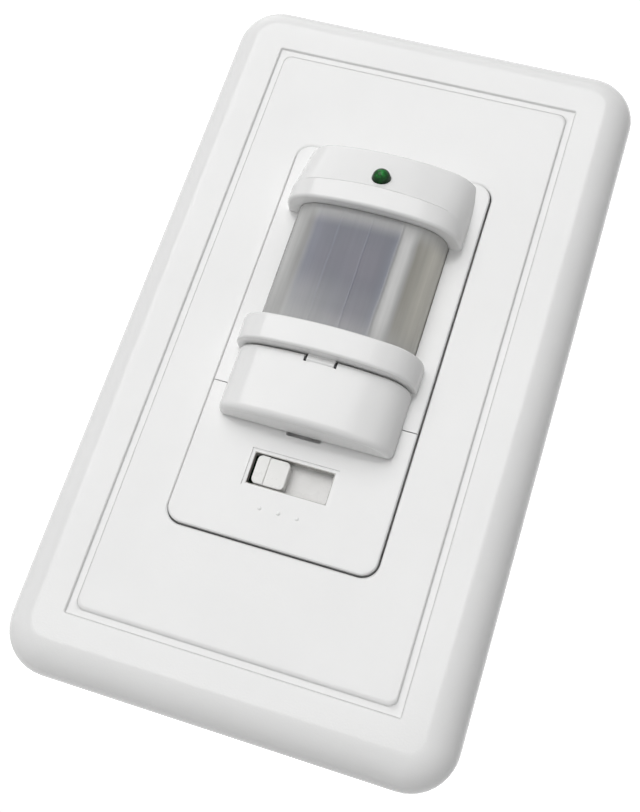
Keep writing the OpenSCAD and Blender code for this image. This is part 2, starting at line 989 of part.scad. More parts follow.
module main_board() {
  color(board_green)
    run_y(main_board_y, main_board_y + board_t)
      square([main_board_w, 2 * board_half_h], center = true);
}

module board_pins() {
  color(brass)
    for (i = [0 : pin_count - 1])
      translate([pins_x, 0, (i - (pin_count - 1) / 2) * pin_pitch])
        run_y(front_board_rear, main_board_y)
          square(pin_side, center = true);
}

module relay() {
  color(dark_plastic)
    translate([relay_at[0], 0, relay_at[1]])
      run_y(main_board_y - relay_h, main_board_y)
        square(relay_size, center = true);
}

module film_capacitor() {
  color([0.75, 0.6, 0.2])
    translate([film_at[0], 0, film_at[1]])
      run_y(main_board_y - film_h, main_board_y)
        square(film_size, center = true);
}

module smoothing_capacitor() {
  color([0.1, 0.1, 0.3])
    translate([smoothing_at[0], 0, smoothing_at[1]])
      rod_y(smoothing_d / 2, main_board_y - smoothing_h, main_board_y);
}

module varistor() {
  color([0.2, 0.3, 0.6])
    translate([varistor_at[0], main_board_y - lead_h - varistor_d / 2, varistor_at[1]]) {
      rod_x(varistor_d / 2, varistor_t);
      for (s = [-1, 1])
        translate([0, 0, s * varistor_d / 4])
          rod_y(lead_r, 0, lead_h + varistor_d / 2);
    }
}

module fuse() {
  color([0.45, 0.2, 0.12])
    translate([fuse_at[0], main_board_y, fuse_at[1]]) {
      rod_y(fuse_d / 2, -lead_h - fuse_h, -lead_h);
      for (s = [-1, 1])
        translate([0, 0, s * fuse_d / 4])
          rod_y(lead_r, -lead_h - weld, 0);
    }
}

// Side pocket of a terminal, grown by a wall
module pocket(side, level, grow) {
  half = pocket_side / 2 + grow;
  x_in = pocket_x - grow;
  x_out = body_w / 2 + (grow > 0 ? -weld : cut);
  translate([0, terminal_y, level * terminal_rise])
    mirror([side < 0 ? 1 : 0, 0, 0])
      box([x_in, -half, -half], [x_out, half, half]);
}

module rear_housing() {
  inner_w = body_w - 2 * body_wall;
  inner_h = body_h - 2 * body_wall;
  floor_in = body_d - body_wall;
  rib_x = front_board_w / 2 - rib_grip;
  color(dark_plastic)
    difference() {
      union() {
        difference() {
          run_y(0, body_d)
            round_rect(body_w, body_h, body_corner_r);
          run_y(-cut, floor_in)
            round_rect(inner_w, inner_h, body_corner_r / 2);
        }
        for (sx = [-1, 1], sz = [-1, 1]) {
          translate([sx * post_x, 0, sz * post_z])
            intersection() {
              rod_y(tube_r, 0, floor_in + weld);
              translate([0, 0, sz * (body_h / 2 - post_z - body_wall / 2 - tube_r)])
                box([-tube_r, 0, -tube_r], [tube_r, body_d, tube_r]);
            }
          // Ribs that hold the front board from behind
          mirror([sx < 0 ? 1 : 0, 0, 0])
            box([rib_x, front_board_rear, sz * rib_z - rib_w / 2],
                [inner_w / 2 + weld, front_board_rear + rib_len, sz * rib_z + rib_w / 2]);
          // Posts under the main board
          translate([sx * main_post_x, 0, sz * main_post_z])
            rod_y(main_post_r, main_board_y + board_t, floor_in + weld);
        }
        for (t = terminals)
          pocket(t[0], t[1], pocket_wall);
      }
      for (sx = [-1, 1], sz = [-1, 1])
        translate([sx * post_x, 0, sz * post_z]) {
          rod_y(screw_r + thread_fit, -cut, body_d);
          rod_y(head_r + tube_gap, screw_seat, body_d + cut);
        }
      for (t = terminals) {
        pocket(t[0], t[1], 0);
        translate([0, terminal_y, t[1] * terminal_rise])
          mirror([t[0] < 0 ? 1 : 0, 0, 0])
            translate([pocket_x, 0, 0])
              rod_x(terminal_r + thread_fit, 2 * pocket_depth);
      }
    }
}

module housing_screws() {
  color(steel)
    for (sx = [-1, 1], sz = [-1, 1])
      translate([sx * post_x, 0, sz * post_z])
        difference() {
          union() {
            rod_y(screw_r, screw_tip, screw_seat + weld);
            rod_y(head_r, screw_seat, screw_seat + head_h);
          }
          box([-head_r - cut, screw_seat + head_h - driver_slot_depth, -driver_slot_w / 2],
              [head_r + cut, screw_seat + head_h + cut, driver_slot_w / 2]);
        }
}

module terminal_clamps() {
  color(brass)
    for (t = terminals)
      translate([0, terminal_y, t[1] * terminal_rise])
        mirror([t[0] < 0 ? 1 : 0, 0, 0])
          difference() {
            box([pocket_x, -clamp_side / 2, -clamp_side / 2],
                [pocket_x + clamp_t, clamp_side / 2, clamp_side / 2]);
            translate([pocket_x, 0, 0])
              rod_x(terminal_r + thread_fit, 4 * clamp_t);
          }
}

module terminal_screws() {
  seat = pocket_x + clamp_t;
  tail = clamp_t + pocket_wall + terminal_tail;
  color(brass)
    for (t = terminals)
      translate([0, terminal_y, t[1] * terminal_rise])
        mirror([t[0] < 0 ? 1 : 0, 0, 0])
          difference() {
            union() {
              translate([seat + terminal_head_h / 2, 0, 0])
                rod_x(terminal_head_r, terminal_head_h);
              translate([seat + weld - tail / 2, 0, 0])
                rod_x(terminal_r, tail + 2 * weld);
            }
            box([seat + terminal_head_h - driver_slot_depth, -terminal_head_r - cut, -driver_slot_w / 2],
                [seat + terminal_head_h + cut, terminal_head_r + cut, driver_slot_w / 2]);
          }
}

wall_plate();
sub_plate();
sub_plate_screws();
mounting_strap();
ground_screw();
front_frame();
lower_front();
fresnel_lens();
indicator_led();
adjuster_door();
door_hinge_pin();
adjuster_tray();
time_knob();
light_knob();
trimmer_bases();
slide_knob();
slide_switch();
pir_sensor();
sensor_holder();
front_board();
main_board();
board_pins();
relay();
film_capacitor();
smoothing_capacitor();
varistor();
fuse();
rear_housing();
housing_screws();
terminal_clamps();
terminal_screws();
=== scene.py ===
"""Motion sensor light switch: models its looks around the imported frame, as an add-on run as a script."""

import json
import math
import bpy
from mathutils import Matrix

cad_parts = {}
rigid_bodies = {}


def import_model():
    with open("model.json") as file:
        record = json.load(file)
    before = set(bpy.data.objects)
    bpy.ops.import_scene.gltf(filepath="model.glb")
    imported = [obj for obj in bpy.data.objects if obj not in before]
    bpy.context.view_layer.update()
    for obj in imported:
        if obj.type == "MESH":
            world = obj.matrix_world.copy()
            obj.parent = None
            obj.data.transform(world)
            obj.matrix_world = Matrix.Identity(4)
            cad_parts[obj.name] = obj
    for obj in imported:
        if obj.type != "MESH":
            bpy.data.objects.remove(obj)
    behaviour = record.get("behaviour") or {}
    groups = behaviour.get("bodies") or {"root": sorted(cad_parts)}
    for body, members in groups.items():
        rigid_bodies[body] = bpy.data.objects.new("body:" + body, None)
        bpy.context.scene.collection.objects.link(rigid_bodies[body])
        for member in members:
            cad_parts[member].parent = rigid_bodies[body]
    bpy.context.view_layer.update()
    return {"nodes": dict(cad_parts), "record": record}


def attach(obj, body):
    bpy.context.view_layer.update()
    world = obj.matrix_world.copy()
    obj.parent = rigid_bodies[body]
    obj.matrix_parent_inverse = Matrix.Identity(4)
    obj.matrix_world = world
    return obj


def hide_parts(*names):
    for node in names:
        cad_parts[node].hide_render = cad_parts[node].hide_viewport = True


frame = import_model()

from types import SimpleNamespace

import bmesh
import bpy
from bpy.props import FloatProperty, FloatVectorProperty, PointerProperty

bl_info = {
    "name": "Motion sensor light switch",
    "version": (1, 0, 0),
    "blender": (4, 5, 0),
    "location": "View3D > Sidebar > Switch",
    "description": "Models a wall switch with a motion sensor, piece by piece, around its CAD frame",
    "category": "Object",
}

SLOT_OF = {part["node"]: part["material_slot"] for part in frame["record"]["subparts"]}
SMOOTH_ANGLE = math.radians(35)
WHITE = (1, 1, 1, 1)
# Millimetres: how far a cutter stands out, how far a piece is sunk into its neighbour, the room round a
# screw, the slack within which two places count as one, and the driver slot of the screws
OVER = 1
SUNK = 0.2
ROOM = 0.05
NEAR = 0.01
DRIVER_SLOT = 0.7
DRIVER_DEPTH = 0.5


# Sizes and colours that a user would change

def length(name, text, value):
    """A length in metres."""
    return FloatProperty(name=name, description=text, default=value, precision=5, unit="LENGTH")


def spot(name, text, value):
    """A place in metres."""
    return FloatVectorProperty(name=name, description=text, default=value, size=3, precision=5,
                               subtype="TRANSLATION", unit="LENGTH")


def number(name, text, value, unit="NONE"):
    """A plain number, or a power."""
    return FloatProperty(name=name, description=text, default=value, unit=unit)


def colour(name, text, value):
    """A colour as it renders under plain light."""
    return FloatVectorProperty(name=name, description=text, default=value, size=3, min=0, max=1,
                               subtype="COLOR")


class PlateSizes(bpy.types.PropertyGroup):
    """Sizes of the wall plate."""
    width: length("Width", "Width of the plate", 0.07)
    height: length("Height", "Height of the plate", 0.12)
    depth: length("Depth", "How far the plate stands off the wall", 0.006)
    corner: length("Corner", "Radius of the outline's corners", 0.0075)
    rim: length("Rim", "Radius of the rounded rim", 0.0052)
    panel_width: length("Panel width", "Width of the centre panel", 0.0494)
    panel_height: length("Panel height", "Height of the centre panel", 0.0991)
    panel_corner: length("Panel corner", "Radius of the centre panel's corners", 0.0014)
    groove_width: length("Groove width", "Width of the groove round the panel", 0.0011)
    groove_depth: length("Groove depth", "Depth of the groove round the panel", 0.00036)
    groove_corner: length("Groove corner", "Radius of the groove's outer corners", 0.00025)
    open_width: length("Opening width", "Width of the opening for the insert", 0.0334)
    open_height: length("Opening height", "Height of the opening for the insert", 0.0668)
    open_corner: length("Opening corner", "Radius of the opening's corners", 0.0027)
    hollow_width: length("Hollow width", "Width of the hollow behind the plate", 0.0664)
    hollow_height: length("Hollow height", "Height of the hollow behind the plate", 0.1164)
    hollow_corner: length("Hollow corner", "Radius of the hollow's corners", 0.005)
    hollow_step: length("Hollow step", "How far the hollow steps in", 0.002)
    hollow_low: length("Hollow shoulder", "Where the hollow steps in, off the wall", 0.0029)
    hollow_high: length("Hollow end", "Where the hollow ends, off the wall", 0.0042)
    edge: length("Edge", "Softness of the small moulded edges", 0.0003)
    fillet: length("Fillet", "Softness in the groove and along the wall", 0.0002)
    post: length("Post", "Radius of the posts behind the plate", 0.0015)
    post_run: length("Post length", "Length of the posts", 0.0017)
    post_x: length("Posts across", "How far the posts lie from the middle", 0.024)
    post_z: length("Posts up", "How far the posts lie above and below the middle", 0.049)
    hook: length("Hook", "How far the clip hooks stand in, and off the wall", 0.0011)
    hook_width: length("Hook width", "Width of the clip hooks", 0.008)
    hook_z: length("Hooks up", "How far the clip hooks lie above and below the middle", 0.03)


class FrontSizes(bpy.types.PropertyGroup):
    """Sizes of the insert, the hood and the lip."""
    width: length("Width", "Width of the insert", 0.033)
    height: length("Height", "Height of the insert", 0.0664)
    corner: length("Corner", "Radius of the insert's corners", 0.0025)
    face: length("Face", "How far the insert's face stands off the wall", 0.0066)
    face_wall: length("Face wall", "Thickness of the face", 0.0016)
    side_wall: length("Side wall", "Thickness of the side walls", 0.0015)
    rear: length("Rear", "Where the side walls end, off the wall", 0.0012)
    edge: length("Edge", "Softness of the face's edge", 0.00028)
    split: length("Joint", "Height of the joint between upper and lower front", -0.0103)
    split_gap: length("Joint gap", "Gap at the joint", 0.00015)
    hood_width: length("Hood width", "Width of the hood and of the lip", 0.0292)
    hood_front: length("Hood front", "How far the hood stands off the wall", 0.0148)
    hood_low: length("Hood underside", "Height of the hood's underside", 0.0207)
    hood_high: length("Hood top", "Height of the hood's top", 0.0328)
    crease: length("Crease", "Height at which the hood starts to lean back", 0.0243)
    score: length("Score", "Width and depth of the line scored along the crease", 0.00007)
    slope: FloatProperty(name="Hood slope", description="How far the hood's upper part leans back",
                         default=math.radians(25), subtype="ANGLE")
    bow: length("Bow", "Radius of the bowed fronts", 0.045)
    hood_corner: length("Hood corner", "Radius at the sides of hood and lip", 0.006)
    hood_wall: length("Hood wall", "Wall of hood and lip", 0.0014)
    hood_soft: length("Hood softness", "Softness of the hood's edges", 0.00055)
    root: length("Root", "How deep hood and lip reach into the face", 0.0008)
    lip_low: length("Lip underside", "Height of the lip's underside", -0.0043)
    lip_high: length("Lip top", "Height of the lip's top", 0.0001)
    lip_soft: length("Lip softness", "Softness of the lip's edges", 0.0004)
    well_width: length("Well width", "Width of the adjusters' opening", 0.022)
    well_height: length("Well height", "Height of the adjusters' opening", 0.0076)
    post: length("Post", "Radius of the posts that take the housing's screws", 0.0024)


class LensSizes(bpy.types.PropertyGroup):
    """Sizes of the lens."""
    width: length("Width", "Width of the lens", 0.025)
    low: length("Low edge", "Height of the lens's lower edge", 0.0002)
    high: length("High edge", "Height of the lens's upper edge", 0.0206)
    front: length("Front", "How far the lens stands off the wall", 0.0129)
    corner: length("Corner", "Radius at the sides of the lens", 0.005)
    wall: length("Wall", "Thickness of the lens and of its flange", 0.0009)
    flange: length("Flange", "Width of the flange behind the face", 0.0013)
    fit: length("Fit", "Gap round the lens", 0.0001)


class DoorSizes(bpy.types.PropertyGroup):
    """Sizes of the adjuster door and its hinge."""
    width: length("Width", "Width of the door", 0.028)
    low: length("Low edge", "Height of the door's lower edge", -0.0154)
    high: length("High edge", "Height of the door's upper edge", -0.0045)
    front: length("Front", "How far the door stands off the wall", 0.0128)
    back: length("Back", "Where the door's sides end, off the wall", 0.00685)
    corner: length("Corner", "Radius at the sides of the door", 0.005)
    wall: length("Wall", "Wall of the door", 0.0012)
    soft: length("Softness", "Radius of the door's lower edge", 0.0011)
    hinge_off: length("Hinge off the wall", "How far the hinge stands off the wall", 0.0121)
    hinge_high: length("Hinge height", "Height of the hinge", -0.0052)
    barrel: length("Barrel", "Radius of the hinge's barrel", 0.0007)
    knuckle: length("Knuckle", "Width of the knuckle under the lip", 0.0044)
    knuckle_fit: length("Knuckle fit", "Gap beside the knuckle", 0.00042)
    pin: length("Pin", "Length of the hinge pin", 0.01)
    nail_width: length("Nail notch width", "Width of the fingernail notch", 0.0056)
    nail_drop: length("Nail notch drop", "How far the notch shows under the door", 0.0005)
    nail_depth: length("Nail notch depth", "Depth of the fingernail notch", 0.0014)


class SlideSizes(bpy.types.PropertyGroup):
    """Sizes of the mode slide and its window."""
    window_width: length("Window width", "Width of the window", 0.0126)
    window_height: length("Window height", "Height of the window", 0.0049)
    middle: length("Middle", "Height of the window's middle", -0.0221)
    pitch: length("Pitch", "Step between two positions", 0.00295)
    knob_left: length("Knob left", "How far the knob reaches to the left of its middle", 0.00275)
    knob_right: length("Knob right", "How far the knob reaches to the right of its middle", 0.00245)
    knob_height: length("Knob height", "Height of the knob", 0.0045)
    knob_corner: length("Knob corner", "Radius of the knob's corners", 0.0008)
    knob_drop: length("Knob drop", "How far the ridge lies under the face", 0.00005)
    ridge: length("Ridge", "Width of the raised ridge", 0.00196)
    step: length("Step", "Height of the ridge", 0.0002)
    floor: length("Floor", "Where the cover plate lies, off the wall", 0.0043)
    cover_width: length("Cover width", "Width of the cover plate", 0.0193)
    cover_height: length("Cover height", "Height of the cover plate", 0.0061)
    cover_wall: length("Cover wall", "Thickness of the cover plate", 0.0006)
    cover_gap: length("Cover gap", "Width of the gap in the cover plate, left of the knob", 0.0012)
    stem_width: length("Stem width", "Width of the stem that works the switch", 0.0016)
    stem_height: length("Stem height", "Height of the stem", 0.0014)
    stem_run: length("Stem run", "How far the stem reaches behind the cover's face", 0.0025)
    rail_width: length("Rail width", "Length of the rails that guide the cover plate", 0.026)
    rail_gap: length("Rail gap", "How far the rails' middles lie off the cover plate", 0.0007)
    rail: length("Rail", "Thickness of the rails", 0.001)
    rebate: length("Rebate", "Width of the shallow rebate round the window", 0.0006)
    rebate_depth: length("Rebate depth", "Depth of the rebate round the window", 0.0002)
    dot: length("Dot", "Radius of the position dots", 0.0003)
    dot_drop: length("Dot drop", "How far the dots lie under the window", 0.0033)


class LampSizes(bpy.types.PropertyGroup):
    """Sizes of the indicator lamp."""
    radius: length("Radius", "Radius of the lamp", 0.00146)
    fit: length("Fit", "Gap round the lamp", 0.00008)
    height: length("Height", "Height of the lamp's middle", 0.02655)
    tip: length("Tip", "How far the lamp's tip stands off the wall", 0.0153)
    length: length("Length", "Length of the lamp", 0.0052)
    collar: length("Collar", "How far the lamp's collar stands out", 0.0004)
    collar_run: length("Collar length", "Length of the collar", 0.001)
    sleeve: length("Sleeve", "Wall of the sleeve round the lamp", 0.0009)
    leg: length("Leg", "Side of the lamp's square legs", 0.0005)
    leg_pitch: length("Leg pitch", "Distance between the legs", 0.0016)
    leg_end: length("Leg end", "Where the legs end, behind the wall", 0.0015)


class AdjusterSizes(bpy.types.PropertyGroup):
    """Sizes of the two adjuster knobs and the marks round them."""
    radius: length("Radius", "Radius of the knobs", 0.0025)
    pitch: length("Pitch", "Distance between the knobs", 0.011)
    front: length("Front", "How far the knobs stand off the wall", 0.0062)
    rear: length("Rear", "Where the knobs end, off the wall", 0.00305)
    soft: length("Softness", "Softness of the knobs' front edge", 0.00035)
    slot: length("Slot", "Width of the driver slot", 0.0008)
    slot_depth: length("Slot depth", "Depth of the driver slot", 0.0006)
    shaft: length("Shaft", "Radius of the shaft", 0.001)
    shaft_run: length("Shaft run", "Length of the shaft", 0.002)
    arrow: length("Arrow", "Size of the arrow head on the slot", 0.0012)
    mark: length("Mark", "Radius of the marks on the tray", 0.00022)
    mark_ring: length("Mark ring", "How far the marks lie from the knob's middle", 0.0033)
    turn: FloatProperty(name="Turn", description="How far the knobs turn each way, to the outer marks",
                        default=math.radians(135), subtype="ANGLE")


class RearSizes(bpy.types.PropertyGroup):
    """Sizes of the housing and the fixings behind the plate."""
    width: length("Width", "Width of the housing", 0.044)
    height: length("Height", "Height of the housing", 0.066)
    depth: length("Depth", "How far the housing reaches into the wall", 0.032)
    corner: length("Corner", "Radius of the housing's corners", 0.003)
    wall: length("Wall", "Wall of the housing", 0.0016)
    soft: length("Softness", "Radius of the edge round the back", 0.0011)
    field_width: length("Field width", "Width of the blank field sunk into the back", 0.028)
    field_height: length("Field height", "Height of the blank field", 0.036)
    field_depth: length("Field depth", "Depth of the blank field", 0.0005)
    field_corner: length("Field corner", "Radius of the blank field's corners", 0.002)
    gauge_width: length("Gauge width", "Length of the wire gauge's groove", 0.011)
    gauge_height: length("Gauge height", "Width of the wire gauge's groove", 0.0018)
    gauge_drop: length("Gauge drop", "How far the wire gauge lies under the blank field", 0.003)
    screw_x: length("Screws across", "How far the screws lie from the middle", 0.0115)
    screw_z: length("Screws up", "How far the screws lie above and below the middle", 0.029)
    seat: length("Screw seat", "Where the screw heads sit, behind the wall", 0.008)
    bore: length("Bore", "Radius of the screws' bores", 0.0024)
    tube: length("Tube", "Radius of the tubes round the bores", 0.0032)
    head: length("Head", "Radius of the screw heads", 0.00225)
    head_high: length("Head height", "Height of the screw heads", 0.0016)
    shank: length("Shank", "Radius of the screws", 0.00125)
    shank_run: length("Shank length", "Length of the screws under the head", 0.0121)
    pocket: length("Pocket", "Side of the terminal pockets", 0.009)
    pocket_depth: length("Pocket depth", "Depth of the terminal pockets", 0.005)
    pocket_wall: length("Pocket wall", "Wall of the terminal pockets", 0.0012)
    terminal_y: length("Terminals back", "How far behind the wall the terminals lie", 0.012)
    terminal_z: length("Terminals up", "How far the terminals lie above or below the middle", 0.009)
    terminal: length("Terminal", "Radius of the terminal screws", 0.0017)
    terminal_head: length("Terminal head", "Radius of the terminal screws' heads", 0.003)
    terminal_high: length("Terminal height", "Height of the terminal screws' heads", 0.002)
    terminal_end: length("Terminal end", "How far the terminal screws reach past the pocket's wall", 0.001)
    clamp: length("Clamp", "Side of the clamping plates", 0.008)
    clamp_wall: length("Clamp wall", "Thickness of the clamping plates", 0.001)
    support_z: length("Supports up", "How far the board's supports lie above and below the middle", 0.02)
    strap: length("Strap", "Thickness of the strap", 0.0012)
    ground_x: length("Ground across", "How far the ground screw lies to the right", 0.012)
    ground_z: length("Ground up", "Height of the ground screw", -0.037)
    ground: length("Ground", "Radius of the ground screw", 0.00175)
    ground_head: length("Ground head", "Radius of the ground screw's head", 0.0034)
    ground_high: length("Ground height", "Height of the ground screw's head", 0.0022)
    rib: length("Rib", "Width of the ribs behind the sub-plate", 0.001)
    rib_high: length("Rib height", "Height of the ribs behind the sub-plate", 0.0007)


class SwitchFinish(bpy.types.PropertyGroup):
    """Colours of the finishes."""
    shell: colour("Shell", "White of the plate, the front and the door", (0.84, 0.84, 0.836))
    trim: colour("Trim", "White of the slide and the inner mouldings", (0.82, 0.82, 0.8))
    # Painted light and shade on the lens: lens_mid is painted shade for the unlit hollow behind the film,
    # lens_rim and lens_warm are painted light where the film is lit from behind
    lens_mid: colour("Lens middle", "Dark blue grey of the hollow behind the film", (0.142, 0.15, 0.182))
    lens_rim: colour("Lens rim", "Milky grey where the film is lit from behind", (0.46, 0.46, 0.455))
    lens_warm: colour("Lens side", "Warm grey towards the lens's right side", (0.42, 0.41, 0.37))
    lamp: colour("Lamp", "Clear dark green of the lamp", (0.005, 0.18, 0.022))
    housing: colour("Housing", "Dark plastic of the housing", (0.022, 0.022, 0.024))
    steel: colour("Steel", "Zinc plated steel", (0.6, 0.61, 0.63))
    brass: colour("Brass", "Plain brass", (0.62, 0.42, 0.14))
    board: colour("Board", "Solder mask of the boards", (0.012, 0.11, 0.035))


class StageSizes(bpy.types.PropertyGroup):
    """Camera, light and floor."""
    camera: spot("Camera", "Place of the camera", (0.03849, -0.1879, -0.06481))
    turn: FloatVectorProperty(name="Turn", description="Turn of the camera", size=3, precision=5,
                              default=tuple(math.radians(a) for a in (109.66284, -17.47875, 5.26379)),
                              subtype="EULER", unit="ROTATION")
    lens: number("Lens", "Focal length in millimetres", 55.92)
    shift_x: number("Shift X", "Sideways shift of the frame", -0.0277)
    shift_y: number("Shift Y", "Upward shift of the frame", -0.0549)
    sky_high: number("Sky high", "Strength of the soft light, upper left", 0.32)
    sky_low: number("Sky low", "Strength of the soft light, lower right", 0)
    key: number("Key", "Power of the main lamp", 67.5, "POWER")
    key_place: spot("Key place", "Place of the main lamp", (-0.9, -2.8, 1.26))
    key_size: length("Key size", "Diameter of the main lamp", 3.15)
    top: number("Top", "Power of the lamp above", 4.5, "POWER")
    top_place: spot("Top place", "Place of the lamp above", (-0.6, -0.55, 1.9))
    top_width: length("Top width", "Width of the lamp above", 2.4)
    top_depth: length("Top depth", "Depth of the lamp above", 1)
    floor: length("Floor", "Height of the floor", -0.1)
    floor_size: length("Floor size", "Side of the floor", 4)
    backdrop: length("Backdrop", "Height of the backdrop", 3)
    bend: length("Bend", "Size of the bend between floor and backdrop", 0.6)


def sizes(group):
    """Gives a group's lengths in millimetres, in which the pieces are modelled; angles stay as they are."""
    source = getattr(bpy.context.scene, "switch_" + group)
    found = {}
    for name, kind in source.bl_rna.properties.items():
        if kind.type == "FLOAT" and not kind.is_array:
            found[name] = getattr(source, name) * (1000 if kind.unit == "LENGTH" else 1)
    return SimpleNamespace(**found)


# Ways of working with pieces

def select_only(*pieces):
    """Leaves just these pieces selected in object mode, the first one active."""
    if bpy.context.mode != "OBJECT":
        bpy.ops.object.mode_set(mode="OBJECT")
    bpy.ops.object.select_all(action="DESELECT")
    for piece in pieces:
        piece.select_set(True)
    bpy.context.view_layer.objects.active = pieces[0]


def edit(piece):
    """Opens a piece in edit mode with nothing selected."""
    select_only(piece)
    bpy.ops.object.mode_set(mode="EDIT")
    bpy.ops.mesh.select_mode(type="VERT")
    bpy.ops.mesh.select_all(action="DESELECT")


def open_piece(name):
    """Starts a new piece in edit mode."""
    piece = bpy.data.objects.new(name, bpy.data.meshes.new(name))
    bpy.context.collection.objects.link(piece)
    edit(piece)
    return piece


def pick(piece, kind, test):
    """Selects the open piece's VERT, EDGE or FACE elements that pass a test, and nothing else."""
    bpy.ops.mesh.select_mode(type=kind)
    bpy.ops.mesh.select_all(action="DESELECT")
    shape = bmesh.from_edit_mesh(piece.data)
    shape.normal_update()
    parts = {"VERT": shape.verts, "EDGE": shape.edges, "FACE": shape.faces}[kind]
    found = [part for part in parts if test(part)]
    if not found:
        raise RuntimeError(piece.name + ": nothing there to select")
    for part in found:
        part.select_set(True)
    shape.select_flush_mode()
    bmesh.update_edit_mesh(piece.data)


def every(test):
    """Gives a test for edges both of whose ends pass a test."""
    return lambda e: all(test(v.co) for v in e.verts)


def runs(axis):
    """Gives a test for edges that run more than a millimetre along an axis."""
    index = "XYZ".index(axis)
    return lambda e: abs(e.verts[0].co[index] - e.verts[1].co[index]) > 1


def soften_edges(piece, size, steps, test=None, sharp=40):
    """Bevels the open piece's sharp edges, or those of them that pass a test."""
    limit = math.radians(sharp)
    pick(piece, "EDGE", lambda e: e.calc_face_angle(0) > limit and (test is None or test(e)))
    bpy.ops.mesh.bevel(offset=size, segments=steps, affect="EDGES", clamp_overlap=True)
    bpy.ops.mesh.select_mode(type="VERT")


def tidy_normals():
    """Merges doubles in the open piece and turns its faces outwards."""
    bpy.ops.mesh.select_mode(type="VERT")
    bpy.ops.mesh.select_all(action="SELECT")
    bpy.ops.mesh.remove_doubles(threshold=1e-4)
    bpy.ops.mesh.normals_make_consistent(inside=False)


def trim(place, normal):
    """Cuts the open piece off beyond a plane and closes the cut."""
    bpy.ops.mesh.select_mode(type="VERT")
    bpy.ops.mesh.select_all(action="SELECT")
    bpy.ops.mesh.bisect(plane_co=place, plane_no=normal, use_fill=True, clear_outer=True, threshold=1e-5)
    tidy_normals()


def apply_step(piece, kind, **options):
    """Gives a piece a modifier with its options and applies it."""
    select_only(piece)
    step = piece.modifiers.new("step", kind)
    for name, value in options.items():
        setattr(step, name, value)
    bpy.ops.object.modifier_apply(modifier=step.name)
    return piece


def cut(piece, cutter, way="DIFFERENCE"):
    """Takes a cutter's form out of a piece, joins it on or keeps what both share, and drops the cutter."""
    apply_step(piece, "BOOLEAN", operation=way, solver="EXACT", object=cutter)
    bpy.data.meshes.remove(cutter.data)


def join(piece, *others):
    """Joins other pieces into the first one."""
    select_only(piece, *others)
    bpy.ops.object.join()
    return piece


def mirrored(piece, axes="XZ"):
    """Repeats a piece on the other side of the switch's middle, along each of the axes."""
    return apply_step(piece, "MIRROR", use_axis=[axis in axes for axis in "XYZ"], use_mirror_merge=False)


def three_fold(piece):
    """Repeats the form at the upper right terminal at the other two, lower right and upper left."""
    mirrored(piece)
    edit(piece)
    pick(piece, "VERT", lambda v: v.co.x < 0 and v.co.z < 0)
    bpy.ops.mesh.delete(type="VERT")
    return piece


def copied(piece, *shifts):
    """Copies a piece, each copy with its own mesh and moved by its shift, and gives them all."""
    row = [piece]
    for shift in shifts:
        select_only(piece)
        bpy.ops.object.duplicate()
        row.append(bpy.context.object)
        edit(row[-1])
        bpy.ops.mesh.select_all(action="SELECT")
        bpy.ops.transform.translate(value=shift)
    return row


def block(name, low, high, soft=0, steps=2):
    """Models a box between two corners, with softened edges."""
    middle = [(a + b) / 2 for a, b in zip(low, high)]
    piece = open_piece(name)
    bpy.ops.mesh.primitive_cube_add(size=1, location=middle)
    bpy.ops.transform.resize(value=[b - a for a, b in zip(low, high)], center_override=middle)
    if soft:
        soften_edges(piece, soft, steps)
    return piece


def rod(name, radius, middle, run, axis="Y", soft=0, sides=40):
    """Models a round rod along an axis, with softened ends."""
    turn = {"X": (0, math.pi / 2, 0), "Y": (math.pi / 2, 0, 0)}[axis]
    piece = open_piece(name)
    bpy.ops.mesh.primitive_cylinder_add(vertices=sides, radius=radius, depth=run, location=middle,
                                        rotation=turn)
    if soft:
        soften_edges(piece, soft, 2, sharp=60)
    return piece


def screw(axis, seat, middle, head, shank, cross=0, sides=40):
    """Models a slotted screw along an axis: a head (radius, height) on its seat, and a shank likewise."""
    index = "XYZ".index(axis)
    top = seat + head[1]

    def on_axis(at):
        """Gives the place on the screw's axis at a distance along it."""
        place = list(middle)
        place[index] = at
        return place

    piece = rod("screw", head[0], on_axis((seat + top) / 2), head[1], axis, sides=sides)
    soften_edges(piece, 0.3 * head[1], 4, every(lambda p: abs(p[index] - top) < NEAR), sharp=60)
    ways = [i for i in range(3) if i != index]
    for way, reach in zip(ways, (head[0] + OVER, cross)):
        if reach:
            half = [DRIVER_SLOT / 2] * 3
            half[index] = DRIVER_DEPTH
            half[way] = reach
            low = [c - h for c, h in zip(on_axis(top), half)]
            cut(piece, block("slot", low, [c + h for c, h in zip(on_axis(top), half)]))
    stem = rod("shank", shank[0], on_axis(seat + (SUNK - shank[1]) / 2), shank[1] + SUNK, axis, 0.1, 24)
    return join(piece, stem)


def cad_copy(node, soft):
    """Copies a CAD piece into millimetres, merges its doubles and flat faces, and softens its edges."""
    piece = bpy.data.objects.new(node + "_copy", frame["nodes"][node].data.copy())
    bpy.context.collection.objects.link(piece)
    edit(piece)
    bpy.ops.mesh.select_all(action="SELECT")
    bpy.ops.transform.resize(value=(1000, 1000, 1000), center_override=(0, 0, 0))
    tidy_normals()
    bpy.ops.mesh.dissolve_limited(angle_limit=math.radians(0.5))
    soften_edges(piece, soft, 2)
    tidy_normals()
    return piece


def inset(outline, by):
    """Sets a rounded rectangle (width, height, corner) in on all sides."""
    width, height, corner = outline
    return width - 2 * by, height - 2 * by, corner - by


